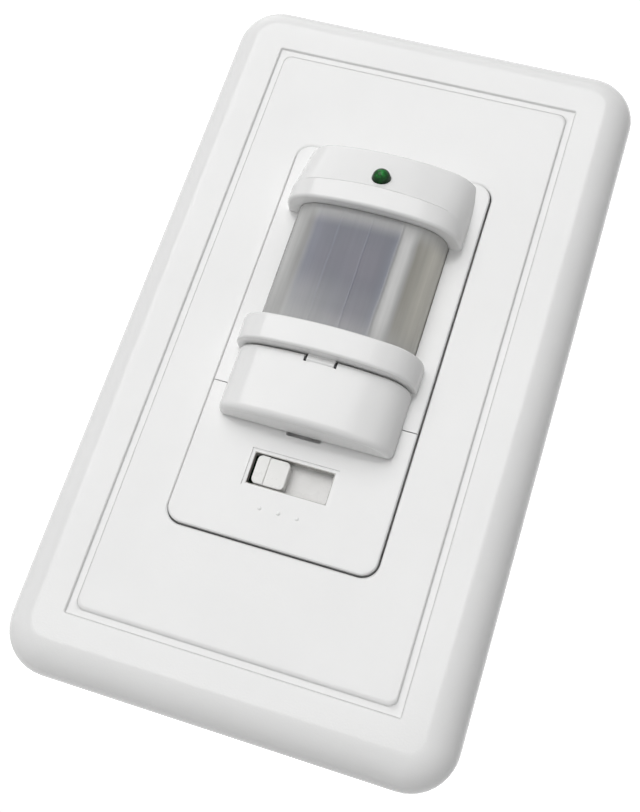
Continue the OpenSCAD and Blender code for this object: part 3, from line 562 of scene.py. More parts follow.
def rounded(path, closed=False):
    """Rounds a path of stations (width, height, corner, off the wall, fillet, steps) at its corners."""
    out = []
    count = len(path)
    for i, station in enumerate(path):
        size, fillet, steps = station[:4], station[4], station[5]
        inner = closed or 0 < i < count - 1
        if not fillet or not inner:
            out.append(size)
            continue
        ends = []
        for other in (path[i - 1], path[(i + 1) % count]):
            reach = math.hypot((other[0] - size[0]) / 2, other[3] - size[3])
            part = min(1, fillet / reach)
            ends.append([a + (b - a) * part for a, b in zip(size, other[:4])])
        for k in range(steps + 1):
            t = k / steps
            weights = ((1 - t) ** 2, math.sqrt(2) * t * (1 - t), t ** 2)
            total = sum(weights)
            corner = zip(ends[0], size, ends[1])
            out.append([sum(w * v for w, v in zip(weights, three)) / total for three in corner])
    tidy = [out[0]]
    for station in out[1:]:
        if max(abs(a - b) for a, b in zip(station, tidy[-1])) > 1e-4:
            tidy.append(station)
    return tidy


def add_outline(station, steps):
    """Adds a rounded rectangle's outline to the open piece: a plane whose corners are bevelled."""
    width, height, corner, off = station
    middle = (0, -off, 0)
    bpy.ops.mesh.select_all(action="DESELECT")
    bpy.ops.mesh.primitive_plane_add(size=1, location=middle, rotation=(math.pi / 2, 0, 0))
    bpy.ops.transform.resize(value=(width, 1, height), center_override=middle)
    bpy.ops.mesh.bevel(offset=corner, segments=steps, affect="VERTICES")
    bpy.ops.mesh.select_linked()
    bpy.ops.object.vertex_group_assign_new()
    bpy.ops.mesh.delete(type="ONLY_FACE")


def pick_outlines(piece, *places):
    """Selects outlines of the open piece by their order."""
    bpy.ops.mesh.select_all(action="DESELECT")
    for place in places:
        piece.vertex_groups.active_index = place
        bpy.ops.object.vertex_group_select()


def loft(name, path, steps, closed):
    """Models a wall through rounded rectangles, bridged one to the next."""
    piece = open_piece(name)
    last = len(path) - 1
    for i, (width, height, corner, off) in enumerate(path):
        # Two outlines in one plane would be bridged crosswise, so each lies a hair off the one before
        hair = 0.001 if i == last else 0.002 * (i % 2)
        add_outline((width, height, corner, off - hair), steps)
    pairs = [(i, i + 1) for i in range(last)]
    if closed:
        pairs.append((last, 0))
    for first, second in pairs:
        pick_outlines(piece, first, second)
        bpy.ops.mesh.bridge_edge_loops()
    if not closed:
        for end in (0, last):
            pick_outlines(piece, end)
            bpy.ops.mesh.edge_face_add()
    bpy.ops.object.vertex_group_remove(all=True)
    tidy_normals()
    return piece


def bowed_wall(piece, half, front, bow, corner, deep, low, high, steps=(9, 20)):
    """Draws a bowed wall in the open piece: a standing plane, spun round both corners and the bow."""
    bow_y = bow - front
    corner_x = half - corner
    lean = math.asin(corner_x / (bow - corner))
    corner_y = bow_y - (bow - corner) * math.cos(lean)
    middle = (-half, (deep + corner_y) / 2, (low + high) / 2)
    bpy.ops.mesh.primitive_plane_add(size=1, location=middle, rotation=(0, math.pi / 2, 0))
    bpy.ops.transform.resize(value=(1, deep - corner_y, high - low), center_override=middle)
    pick(piece, "EDGE", every(lambda p: abs(p.y - corner_y) < 1e-3))
    turn = math.pi / 2 - lean
    bpy.ops.mesh.spin(steps=steps[0], angle=turn, center=(-corner_x, corner_y, 0), axis=(0, 0, -1))
    bpy.ops.mesh.spin(steps=steps[1], angle=2 * lean, center=(0, bow_y, 0), axis=(0, 0, -1))
    bpy.ops.mesh.spin(steps=steps[0], angle=turn, center=(corner_x, corner_y, 0), axis=(0, 0, -1))
    bpy.ops.mesh.extrude_region_move(TRANSFORM_OT_translate={"value": (0, deep - corner_y, 0)})
    bpy.ops.mesh.select_mode(type="VERT")


def bowed_block(name, half, front, bow, corner, low, high, deep=0):
    """Models a block with a bowed front that reaches back to a depth."""
    piece = open_piece(name)
    bowed_wall(piece, half, front, bow, corner, deep, low, high)
    pick(piece, "VERT", lambda v: v.co.y > deep - 1e-3)
    bpy.ops.mesh.edge_face_add()
    for level in (low, high):
        pick(piece, "VERT", lambda v: abs(v.co.z - level) < 1e-3)
        bpy.ops.mesh.edge_face_add()
    tidy_normals()
    return piece


def lean_back(piece, f, front, high):
    """Leans the open hood back above its crease."""
    tilt = (0, math.sin(f.slope / 2), math.cos(f.slope / 2))
    bpy.ops.mesh.select_all(action="SELECT")
    bpy.ops.mesh.bisect(plane_co=(0, -front, f.crease), plane_no=tilt)
    pick(piece, "VERT", lambda v: v.co.z > high - 1e-3)
    bpy.ops.transform.resize(value=(1, 1 / math.cos(f.slope), 1), center_override=(0, -front, high))
    bpy.ops.transform.translate(value=(0, (high - f.crease) * math.tan(f.slope), 0))


def score_crease(piece, f):
    """Scores a fine line along the open hood's crease."""
    soften_edges(piece, f.score, 1, lambda e: e.verts[0].co.z < f.hood_high - 2 * f.hood_soft, sharp=18)
    pick(piece, "FACE", lambda p: 0.06 < p.normal.z < 0.36
         and abs(p.calc_center_median().z - f.crease) < 0.4)
    bpy.ops.mesh.extrude_region_shrink_fatten(TRANSFORM_OT_shrink_fatten={"value": -f.score})


def visor(part, f, by, back, soft=0):
    """Models the hood, which leans back, or the lip, or the hollow of one where it is set in."""
    hood = part == "hood"
    front = f.hood_front - by
    low = (f.hood_low if hood else f.lip_low) + by
    high = (f.hood_high if hood else f.lip_high) - by
    piece = bowed_block(part, f.hood_width / 2 - by, front, f.bow - by, f.hood_corner - by, low, high)
    if hood:
        lean_back(piece, f, front, high)
    trim((0, -back, 0), (0, 1, 0))
    if soft:
        rim = -back - NEAR
        soften_edges(piece, soft, 4, lambda e: any(v.co.y < rim for v in e.verts))
        if hood:
            score_crease(piece, f)
        tidy_normals()
    return piece


def insert_shell(name, f):
    """Models the insert's hollow shell: two nested outlines, closed at the face."""
    outside = (f.width, f.height, f.corner)
    inside = inset(outside, f.side_wall)
    path = [
        (*inside, f.face - f.face_wall, 0, 1),
        (*inside, f.rear, 0, 1),
        (*outside, f.rear, 0, 1),
        (*outside, f.face, f.edge, 4),
        (*inset(outside, 2 * f.edge), f.face, 0, 1),
    ]
    return loft(name, rounded(path), 6, False)


def opening(f, half, low, high):
    """Models a cutter that goes through the insert's face between two heights."""
    return block("opening", (-half, -f.face - OVER, low), (half, f.face_wall - f.face + OVER, high))


def screw_posts(f, level):
    """Models the two posts behind the face that take the housing's screws, above (1) or below (-1)."""
    r = sizes("rear")
    back = f.face - f.face_wall
    middle = (r.screw_x, -(back + SUNK) / 2, level * r.screw_z)
    return mirrored(rod("screw_post", f.post, middle, back, sides=24), "X")


def terminal_block(r, near, far, half, soft=0):
    """Models a square block at the upper right terminal, between two distances from the middle."""
    low = (near, r.terminal_y - half, r.terminal_z - half)
    return block("terminal", low, (far, r.terminal_y + half, r.terminal_z + half), soft)


def terminal_hole(r, seat, run):
    """Models a cutter for the upper right terminal screw's hole."""
    return rod("hole", r.terminal + ROOM, (seat, r.terminal_y, r.terminal_z), run, "X", sides=32)


def dress(piece, node, body="switch_body", finish=None):
    """Brings a finished piece to metres, shades it, and sets it in the frame for its node."""
    piece.name = piece.data.name = node + "_visual"
    edit(piece)
    bpy.ops.mesh.select_all(action="SELECT")
    bpy.ops.transform.resize(value=(0.001, 0.001, 0.001), center_override=(0, 0, 0))
    select_only(piece)
    bpy.ops.object.shade_smooth_by_angle(angle=SMOOTH_ANGLE)
    apply_step(piece, "WEIGHTED_NORMAL", keep_sharp=True)
    piece.data.materials.clear()
    piece.data.materials.append(finish_of(finish or SLOT_OF[node]))
    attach(piece, body)
    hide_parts(node)


# Finishes

def plug(tree, node, sockets):
    """Sets a node's sockets, by name or number, to values or to the outputs that feed them."""
    for socket, value in sockets.items():
        if isinstance(value, bpy.types.NodeSocket):
            tree.links.new(value, node.inputs[socket])
        else:
            node.inputs[socket].default_value = value


def add(tree, kind, sockets=None, **options):
    """Adds a shader node with its options and sockets, and gives its outputs."""
    node = tree.nodes.new("ShaderNode" + kind)
    for name, value in options.items():
        setattr(node, name, value)
    plug(tree, node, sockets or {})
    return node.outputs


def start_finish(slot):
    """Starts a material and gives its tree, its shader and its object coordinates."""
    finish = bpy.data.materials.new("finish_" + slot)
    finish.use_nodes = True
    tree = finish.node_tree
    return finish, tree, tree.nodes["Principled BSDF"], add(tree, "TexCoord")["Object"]


def noise(tree, place, scale, detail=3, stretch=None):
    """Adds a noise pattern, stretched along an axis where a stretch is given."""
    if stretch:
        place = add(tree, "Mapping", {"Vector": place, "Scale": stretch})["Vector"]
    return add(tree, "TexNoise", {"Vector": place, "Scale": scale, "Detail": detail})["Fac"]


def ramp(tree, source, *stops, way="LINEAR"):
    """Adds a colour ramp through (place, tone) stops, whose tones are colours or greys."""
    node = tree.nodes.new("ShaderNodeValToRGB")
    node.color_ramp.interpolation = way
    marks = node.color_ramp.elements
    while len(marks) < len(stops):
        marks.new(0.5)
    for mark, (at, tone) in zip(marks, stops):
        mark.position = at
        mark.color = (tone, tone, tone, 1) if isinstance(tone, (int, float)) else (*tone, 1)
    plug(tree, node, {"Fac": source})
    return node.outputs["Color"]


def spread(tree, source, low, high):
    """Maps a pattern to a range of values."""
    return add(tree, "MapRange", {"Value": source, "To Min": low, "To Max": high})["Result"]


def along(tree, place, axis, low, high):
    """Runs from nought to one between two places along an axis, in metres."""
    value = add(tree, "SeparateXYZ", {"Vector": place})[axis]
    return add(tree, "MapRange", {"Value": value, "From Min": low, "From Max": high})["Result"]


def relief(tree, source, height):
    """Makes a relief from a pattern, at a height in metres."""
    return add(tree, "Bump", {"Strength": 1, "Distance": height, "Height": source})["Normal"]


def mixed(tree, share, first, second):
    """Blends two colour patterns by a share."""
    return add(tree, "Mix", {"Factor": share, 6: first, 7: second}, data_type="RGBA")[2]


def shade(tone, factor):
    """Gives a darker or lighter tone."""
    return tuple(min(1, part * factor) for part in tone)


def moulded(slot, tone, low, high, grain=0.000012, drift=0.03, pitch=3200):
    """A moulded plastic: a faint drift of tone, an uneven gloss and a fine grain."""
    finish, tree, shader, place = start_finish(slot)
    plug(tree, shader, {
        "Base Color": ramp(tree, noise(tree, place, 55), (0.3, shade(tone, 1 - drift)), (0.7, tone)),
        "Roughness": spread(tree, noise(tree, place, 400), low, high),
        "Normal": relief(tree, noise(tree, place, pitch, 2), grain),
    })
    return finish


def metal(slot, tone, low, high, stretch):
    """A drawn or plated metal with fine marks along one way."""
    finish, tree, shader, place = start_finish(slot)
    marks = noise(tree, place, 900, 4, stretch)
    plug(tree, shader, {
        "Base Color": ramp(tree, marks, (0.25, shade(tone, 0.82)), (0.75, tone)),
        "Roughness": spread(tree, marks, low, high),
        "Metallic": 1,
        "Normal": relief(tree, marks, 0.00001),
    })
    return finish


def moulded_with_painted_shade(slot, tone, low, high, painted_shade_share, pitch, *painted_shade_tones):
    """A moulded plastic with painted shade on it, whose share a function works out from the tree and the
    place.
    """
    finish = moulded(slot, tone, low, high)
    tree = finish.node_tree
    shader = tree.nodes["Principled BSDF"]
    clean = shader.inputs["Base Color"].links[0].from_socket
    place = add(tree, "TexCoord")["Object"]
    # Painted shade: a darker tone, speckled by noise, laid over the clean colour where the share is high
    painted_shade_specks = ramp(tree, noise(tree, place, pitch), *painted_shade_tones)
    plug(tree, shader, {"Base Color": mixed(tree, painted_shade_share(tree, place), clean, painted_shade_specks)})
    return finish


def painted_shade_on_cover(tree, place):
    """The share of painted shade on the slide: it darkens the cover plate, the floor of the window's recess.
    """
    floor = bpy.context.scene.switch_slide.floor
    return along(tree, place, "Y", -floor - 0.0007, -floor)


def painted_shade_round_window(tree, place):
    """The share of painted shade on the lower front: a fine dark line along the edge of the slide's window.
    """
    s = bpy.context.scene.switch_slide
    half = (s.window_width / 2, 0, s.window_height / 2)
    centred = add(tree, "Mapping", {"Vector": place, "Location": (0, 0, -s.middle)})["Vector"]
    folded = add(tree, "VectorMath", {0: centred}, operation="ABSOLUTE")["Vector"]
    off = add(tree, "VectorMath", {0: folded, 1: half}, operation="SUBTRACT")["Vector"]
    ways = add(tree, "SeparateXYZ", {"Vector": off})
    most = add(tree, "Math", {0: ways["X"], 1: ways["Z"]}, operation="MAXIMUM")["Value"]
    return add(tree, "MapRange", {"Value": most, "From Min": 0.00018, "From Max": 0.00006})["Result"]


def lens_film(slot):
    """The milky lens, painted with light and shade: painted shade for the dark hollow behind the film,
    painted light where the film is lit from behind at its edges, a painted shadow line along its left edge,
    a painted highlight streak on its right, light lines between strips and a gloss.
    """
    finish, tree, shader, place = start_finish(slot)
    c = bpy.context.scene.switch_finish
    n = bpy.context.scene.switch_lens
    mid, rim, warm = c.lens_mid, c.lens_rim, c.lens_warm
    half = n.width / 2
    drift = noise(tree, place, 420, 2, (1, 1, 0.3))
    waver = (0.0006, 0, 0)
    wavy = add(tree, "VectorMath", {0: drift, 1: waver, 2: place}, operation="MULTIPLY_ADD")["Vector"]
    across = along(tree, wavy, "X", 0.0003 - half, 0.0003 + half)
    upward = along(tree, place, "Z", n.low, n.high)

    def bands(*stops):
        """Adds a ramp across the lens through (millimetres from its middle, tone) stops."""
        return ramp(tree, across, *((0.5 + x * 0.0005 / half, tone) for x, tone in stops))

    # Painted light and shade across the lens: a painted shadow line at the left edge, painted light where
    # the film is lit from behind on the left and right, painted shade for the hollow in the middle, and a
    # painted highlight streak from 5.9 to 8.1 mm
    strips = bands(*((x, shade(tone, factor)) for x, tone, factor in (
        (-11.95, rim, 0.2), (-11.6, rim, 0.95), (-11, rim, 1.12), (-9.4, rim, 0.82), (-8.7, rim, 0.62),
        (-7.6, mid, 1.3), (-4.5, mid, 1.06), (-4.22, mid, 1.62), (-3.95, mid, 0.98), (0.5, mid, 1.05),
        (0.75, mid, 1.6), (1, mid, 1), (4.5, mid, 1), (5.3, mid, 1.2), (5.9, rim, 0.86), (6.6, rim, 1.22),
        (7.4, rim, 1.2), (8.1, rim, 0.78), (8.8, warm, 0.72), (10.1, warm, 0.92), (11.2, warm, 1.34),
        (12.5, warm, 1.4))))
    cloud = noise(tree, place, 130, 1)
    # Painted shade: the tinted middle stands in for the unlit hollow behind the film
    warmer = (mid[0] * 1.22, mid[1] * 1.08, mid[2] * 1.07)
    tinted = ramp(tree, cloud, (0.35, shade(mid, 0.9)), (0.65, warmer))
    inside = bands((-8.5, 0), (-5.5, 0.45), (3.5, 0.45), (5, 0))
    filled = mixed(tree, inside, strips, tinted)
    # Painted light: paler along the lens's top, lifting the hood's shadow there, and along its bottom
    painted_light_ends = ramp(tree, upward, (0, 0.55), (0.2, 0.14), (0.45, 0), (0.82, 0), (0.97, 0.8), way="EASE")
    pale = ramp(tree, cloud, (0.3, shade(rim, 0.86)), (0.7, shade(rim, 0.94)))
    # Painted light: paler towards the lens's lower left
    leftward = bands((-9, 0.75), (-4.4, 0.5), (1, 0))
    downward = ramp(tree, upward, (0.05, 0.9), (0.55, 0), way="EASE")
    low_left = add(tree, "Math", {0: leftward, 1: downward}, operation="MULTIPLY")["Value"]
    with_painted_light = mixed(tree, low_left, mixed(tree, painted_light_ends, filled, pale), pale)
    fine = spread(tree, noise(tree, place, 1600, 3, (1, 1, 0.03)), 0.9, 1.1)
    ridges = bands((-4.45, 0), (-4.22, 1), (-4, 0), (0.52, 0), (0.75, 1), (0.98, 0),
                   (5.3, 0), (5.6, 1), (5.9, 0))
    plug(tree, shader, {
        "Base Color": add(tree, "VectorMath", {0: with_painted_light, "Scale": fine}, operation="SCALE")["Vector"],
        "Roughness": spread(tree, noise(tree, place, 500, 2), 0.18, 0.26),
        "Specular IOR Level": 0.3,
        "Normal": relief(tree, ridges, 0.00004),
    })
    return finish


def board_finish(slot):
    """A circuit board: green solder mask with paler copper runs under it."""
    finish, tree, shader, place = start_finish(slot)
    tone = bpy.context.scene.switch_finish.board
    tracks = add(tree, "TexBrick", {
        "Vector": add(tree, "Mapping", {"Vector": place, "Rotation": (math.pi / 2, 0, 0)})["Vector"],
        "Scale": 260,
        "Color1": (*tone, 1),
        "Color2": (*shade(tone, 0.8), 1),
        "Mortar": (*shade(tone, 1.7), 1),
    })["Color"]
    plug(tree, shader, {"Base Color": tracks, "Roughness": spread(tree, noise(tree, place, 700), 0.25, 0.4)})
    return finish


def lamp_finish(slot):
    """The lamp's clear green resin, with painted light: a painted highlight as a bright heart in the middle,
    and painted shade deep green towards the side.
    """
    finish, tree, shader, place = start_finish(slot)
    tone = bpy.context.scene.switch_finish.lamp
    lamp = bpy.context.scene.switch_lamp
    middle = (0, 0, -lamp.height)
    centred = add(tree, "Mapping", {"Vector": place, "Location": middle, "Scale": (1, 0, 1)})["Vector"]
    reach = add(tree, "VectorMath", {0: centred}, operation="LENGTH")["Value"]
    share = add(tree, "MapRange", {"Value": reach, "From Max": lamp.radius})["Result"]
    # Painted light: the rings run from a painted highlight in the middle to painted shade at the side
    tones = ((0, 0.75), (0.4, 0.6), (0.7, 0.25), (1, 0.1))
    painted_light_rings = ramp(tree, share, *((at, shade(tone, factor)) for at, factor in tones))
    blots = ramp(tree, noise(tree, place, 1500, 2), (0.42, shade(tone, 0.2)), (0.6, shade(tone, 1.7)))
    painted_highlight_share = ramp(tree, share, (0.2, 0.6), (0.8, 0.1))
    plug(tree, shader, {
        "Base Color": mixed(tree, painted_highlight_share, painted_light_rings, blots),
        "Roughness": 0.1,
        "Specular IOR Level": 0.2,
    })
    return finish


def finish_of(slot):
    """Gives the material for a slot of the record, made the first time that it is asked for."""
    c = bpy.context.scene.switch_finish
    makers = {
        "white_shell": (moulded, c.shell, 0.11, 0.16),
        # Painted shade: a fine dark line round the slide's window on the lower front
        "white_front": (moulded_with_painted_shade, c.shell, 0.11, 0.16, painted_shade_round_window, 900,
                        (0.3, (0.36, 0.35, 0.33)), (0.7, (0.5, 0.49, 0.47))),
        "white_trim": (moulded, c.trim, 0.24, 0.32),
        # Painted shade: the slide's cover plate is darker at the floor of the window's recess
        "white_slide": (moulded_with_painted_shade, c.trim, 0.24, 0.32, painted_shade_on_cover, 300,
                        (0.35, (0.77, 0.765, 0.75)), (0.65, (0.83, 0.825, 0.815))),
        "lens_film": (lens_film,),
        "lamp_green": (lamp_finish,),
        "dark_plastic": (moulded, c.housing, 0.4, 0.55, 0.00006, 0.25, 1300),
        "steel": (metal, c.steel, 0.28, 0.42, (1, 1, 0.08)),
        # Painted shade: the hinge pin is made dark so that the slits beside the knuckle read dark
        "dark_steel": (metal, shade(c.steel, 0.15), 0.5, 0.65, (0.08, 1, 1)),
        "ground_green": (metal, (0.03, 0.25, 0.06), 0.3, 0.45, (1, 1, 1)),
        "brass": (metal, c.brass, 0.25, 0.4, (1, 1, 1)),
        "board": (board_finish,),
        "relay_case": (moulded, (0.01, 0.015, 0.03), 0.25, 0.35, 0.00001, 0.2),
        "film_yellow": (moulded, (0.5, 0.31, 0.035), 0.25, 0.4, 0.00002, 0.1),
        "capacitor_sleeve": (moulded, (0.012, 0.012, 0.07), 0.2, 0.3, 0.00001, 0.2),
        "varistor_blue": (moulded, (0.035, 0.075, 0.3), 0.25, 0.4, 0.00004, 0.15),
        "fuse_brown": (moulded, (0.16, 0.035, 0.014), 0.25, 0.4, 0.00002, 0.15),
    }
    maker, *values = makers[slot]
    return bpy.data.materials.get("finish_" + slot) or maker(slot, *values)


# The pieces

class SWITCH_OT_wall_plate(bpy.types.Operator):
    """Models the clip-on wall plate with its rounded rim, groove and opening"""
    bl_idname = "switch.wall_plate"
    bl_label = "Wall plate"

    def execute(self, context):
        p = sizes("plate")
        outside = (p.width, p.height, p.corner)
        groove = (p.panel_width + 2 * p.groove_width, p.panel_height + 2 * p.groove_width, p.groove_corner)
        groove_off = p.depth - p.groove_depth
        panel = (p.panel_width, p.panel_height, p.panel_corner)
        hole = (p.open_width, p.open_height, p.open_corner)
        step = (p.hollow_width - 2 * p.hollow_step, p.hollow_height - 2 * p.hollow_step, p.hollow_corner)
        hollow = (p.hollow_width, p.hollow_height, p.hollow_corner)
        path = [
            (*outside, 0, p.fillet, 2),
            (*outside, p.depth, p.rim, 14),
            (*inset(outside, p.rim), p.depth, 0, 1),
            (*groove, p.depth, p.edge, 3),
            (*groove, groove_off, p.fillet, 3),
            (*panel, groove_off, p.fillet, 3),
            (*panel, p.depth, p.edge, 3),
            (*hole, p.depth, p.edge, 3),
            (*hole, p.hollow_high, 0, 1),
            (*step, p.hollow_high, 0.5, 3),
            (*step, p.hollow_low, 0, 1),
            (*hollow, p.hollow_low, p.fillet, 2),
            (*hollow, 0, 0.15, 2),
        ]
        plate = loft("plate", rounded(path, True), 10, True)
        post_y = p.post_run / 2 - p.hollow_high - SUNK
        posts = mirrored(rod("post", p.post, (p.post_x, post_y, p.post_z), p.post_run, soft=0.15, sides=24))
        side, half = p.hollow_width / 2, p.hook_width / 2
        hooks = mirrored(block("hook", (side - p.hook, -p.hook, p.hook_z - half),
                               (side + SUNK, -0.3, p.hook_z + half), 0.15))
        dress(join(plate, posts, hooks), "wall_plate")
        return {"FINISHED"}


class SWITCH_OT_front_frame(bpy.types.Operator):
    """Models the upper front with its hood, lip and hinge knuckle"""
    bl_idname = "switch.front_frame"
    bl_label = "Upper front"

    def shell(self, f):
        """Models the shell above the joint, open for the lens, the well, the hood and the lip."""
        n = sizes("lens")
        shell = insert_shell("front", f)
        trim((0, 0, f.split + f.split_gap / 2), (0, 0, -1))
        cut(shell, opening(f, n.width / 2 + n.fit, f.lip_high, f.hood_low))
        cut(shell, opening(f, f.well_width / 2, f.split - OVER, f.split + f.well_height / 2))
        for part in ("hood", "lip"):
            cut(shell, visor(part, f, f.hood_wall, f.face - f.face_wall - OVER))
        return shell

    def hood(self, f, base):
        """Models the hollow hood with the lamp's bore and its sleeve."""
        lamp = sizes("lamp")
        bore = lamp.radius + lamp.fit
        eye = (0, -lamp.tip, lamp.height)
        hood = visor("hood", f, 0, base, f.hood_soft)
        cut(hood, visor("hood", f, f.hood_wall, base - OVER))
        middle = (0, -lamp.tip + lamp.length / 2, lamp.height)
        sleeve = rod("sleeve", bore + lamp.sleeve, middle, lamp.length)
        cut(sleeve, visor("hood", f, 0.3, base), "INTERSECT")
        cut(hood, rod("bore", bore, eye, 6, sides=48))
        edit(hood)
        lean = math.tan(f.slope)
        soften_edges(hood, 0.28, 4, every(
            lambda p: abs(math.hypot(p.x, p.z - lamp.height) - bore) < 0.02
            and p.y < (p.z - f.crease) * lean - f.hood_front + 0.4), sharp=30)
        cut(sleeve, rod("bore", bore, eye, 20))
        return join(hood, sleeve)

    def execute(self, context):
        f, d = sizes("front"), sizes("door")
        base = f.face - f.root
        shell = self.shell(f)
        hood = self.hood(f, base)
        lip = visor("lip", f, 0, base, f.lip_soft)
        cut(lip, visor("lip", f, f.hood_wall, base - OVER))
        knuckle = rod("knuckle", d.barrel, (0, -d.hinge_off, d.hinge_high), d.knuckle, "X", 0.12, 32)
        web = block("web", (-d.knuckle / 2, -d.hinge_off - 0.45 * d.barrel, d.hinge_high),
                    (d.knuckle / 2, -d.hinge_off + d.barrel, f.lip_low + 0.3), 0.1)
        dress(join(shell, hood, lip, knuckle, web, screw_posts(f, 1)), "front_frame")
        return {"FINISHED"}


class SWITCH_OT_lower_front(bpy.types.Operator):
    """Models the lower front with the slide's window, its fine border, the nail notch and the dots"""
    bl_idname = "switch.lower_front"
    bl_label = "Lower front"

    def execute(self, context):
        f, d, s = sizes("front"), sizes("door"), sizes("slide")
        back = f.face - f.face_wall
        shell = insert_shell("lower", f)
        trim((0, 0, f.split - f.split_gap / 2), (0, 0, 1))
        cut(shell, opening(f, f.well_width / 2, f.split - f.well_height / 2, f.split + OVER))
        half_w, half_h = s.window_width / 2, s.window_height / 2
        window = opening(f, half_w, s.middle - half_h, s.middle + half_h)
        soften_edges(window, 0.25, 3, runs("Y"))
        cut(shell, window)
        rim_w, rim_h = half_w + s.rebate, half_h + s.rebate
        cut(shell, block("rebate", (-rim_w, -f.face - OVER, s.middle - rim_h),
                         (rim_w, -f.face + s.rebate_depth, s.middle + rim_h)))
        nail = block("nail", (-d.nail_width / 2, -f.face - OVER, d.low - d.nail_drop),
                     (d.nail_width / 2, -f.face + d.nail_depth, d.low + d.wall))
        soften_edges(nail, 0.35, 4, runs("Y"))
        cut(shell, nail)
        dot = rod("dot", s.dot, (0, -f.face, s.middle - half_h - s.dot_drop), 0.24, soft=0.08, sides=20)
        dots = copied(dot, (-s.pitch, 0, 0), (s.pitch, 0, 0))
        rise = s.cover_height / 2 + s.rail_gap
        rail = block("rail", (-s.rail_width / 2, -back - SUNK, s.middle + rise - s.rail / 2),
                     (s.rail_width / 2, 1 - s.floor, s.middle + rise + s.rail / 2), 0.1)
        rails = copied(rail, (0, 0, -2 * rise))
        dress(join(shell, *dots, *rails, screw_posts(f, -1)), "lower_front", finish="white_front")
        return {"FINISHED"}


class SWITCH_OT_lens(bpy.types.Operator):
    """Models the bowed lens with its flange behind the face"""
    bl_idname = "switch.lens"
    bl_label = "Lens"

    def execute(self, context):
        n, f = sizes("lens"), sizes("front")
        back = f.face - f.face_wall
        deep = n.wall - back
        film = open_piece("lens")
        bowed_wall(film, n.width / 2, n.front, f.bow, n.corner, deep, n.low, n.high, (10, 28))
        tidy_normals()
        shape = bmesh.from_edit_mesh(film.data)
        outward = sum(face.normal.y for face in shape.faces)
        if outward > 0:
            bpy.ops.mesh.flip_normals()
        apply_step(film, "SOLIDIFY", thickness=n.wall, offset=-1, use_even_offset=True)
        middle = (n.low + n.high) / 2
        half_w, half_h = n.width / 2, (n.high - n.low) / 2 + n.fit
        flange = block("flange", (-half_w - n.flange, -back, middle - half_h - n.flange),
                       (half_w + n.flange, deep, middle + half_h + n.flange))
        inner_w, inner_h = half_w - n.wall, half_h - n.wall
        cut(flange, block("flange_hole", (-inner_w, -back - OVER, middle - inner_h),
                          (inner_w, deep + OVER, middle + inner_h)))
        dress(join(film, flange), "fresnel_lens")
        return {"FINISHED"}


class SWITCH_OT_lamp(bpy.types.Operator):
    """Models the indicator lamp: a dome drawn out to a collar, with two legs"""
    bl_idname = "switch.lamp"
    bl_label = "Indicator lamp"

    def execute(self, context):
        lamp = sizes("lamp")
        middle = (0, -lamp.tip + lamp.radius, lamp.height)
        seat = (0, -lamp.tip + lamp.length, lamp.height)
        piece = open_piece("lamp")
        bpy.ops.mesh.primitive_uv_sphere_add(segments=40, ring_count=24, radius=lamp.radius, location=middle,
                                             rotation=(math.pi / 2, 0, 0))
        bpy.ops.mesh.select_all(action="SELECT")
        bpy.ops.mesh.bisect(plane_co=middle, plane_no=(0, 1, 0), clear_outer=True, threshold=1e-5)
        pick(piece, "EDGE", every(lambda p: p.y > middle[1] - 1e-3))
        bpy.ops.mesh.extrude_region_move(TRANSFORM_OT_translate={"value": (0, lamp.length - lamp.radius, 0)})
        grow = (lamp.radius + lamp.collar) / lamp.radius
        bpy.ops.mesh.extrude_region_move(TRANSFORM_OT_translate={"value": (0, 0, 0)})
        bpy.ops.transform.resize(value=(grow, 1, grow), center_override=seat)
        bpy.ops.mesh.extrude_region_move(TRANSFORM_OT_translate={"value": (0, lamp.collar_run, 0)})
        bpy.ops.mesh.edge_face_add()
        tidy_normals()
        x, half = lamp.leg_pitch / 2, lamp.leg / 2
        legs = mirrored(block("leg", (x - half, seat[1] + lamp.collar_run - SUNK, lamp.height - half),
                              (x + half, lamp.leg_end, lamp.height + half), 0.06), "X")
        dress(join(piece, legs), "indicator_led")
        return {"FINISHED"}


class SWITCH_OT_door(bpy.types.Operator):
    """Models the flip-up door: a hollow bowed block with soft edges and a hinge block"""
    bl_idname = "switch.door"
    bl_label = "Adjuster door"

    def solid(self, d, bow):
        """Models the door's outer form with its soft lower and upper edges."""
        door = bowed_block("door", d.width / 2, d.front, bow, d.corner, d.low, d.high)
        trim((0, -d.back, 0), (0, 1, 0))
        rim = -d.back - NEAR
        below = every(lambda p: p.z < d.low + NEAR)
        above = every(lambda p: p.z > d.high - NEAR)
        for soft, steps, test in ((d.soft, 6, below), (d.barrel, 5, above)):
            soften_edges(door, soft, steps, lambda e: test(e) and any(v.co.y < rim for v in e.verts))
        tidy_normals()
        return door

    def execute(self, context):
        d, f = sizes("door"), sizes("front")
        door = self.solid(d, f.bow)
        cut(door, bowed_block("hollow", d.width / 2 - d.wall, d.front - d.wall, f.bow - d.wall,
                              d.corner - d.wall, d.low + d.wall, d.high + OVER))
        reach = d.pin / 2 + d.wall
        hinge = block("hinge", (-reach, -d.front - OVER, d.hinge_high - d.barrel),
                      (reach, -d.hinge_off + d.barrel, d.high + OVER))
        cut(hinge, self.solid(d, f.bow), "INTERSECT")
        cut(door, hinge, "UNION")
        notch = d.knuckle / 2 + d.knuckle_fit
        cut(door, block("notch", (-notch, -d.front - OVER, d.hinge_high), (notch, 0, d.high + OVER)))
        cut(door, rod("pocket", d.barrel + 0.1, (0, -d.hinge_off, d.hinge_high), 2 * notch, "X"))
        dress(door, "adjuster_door", "door")
        return {"FINISHED"}


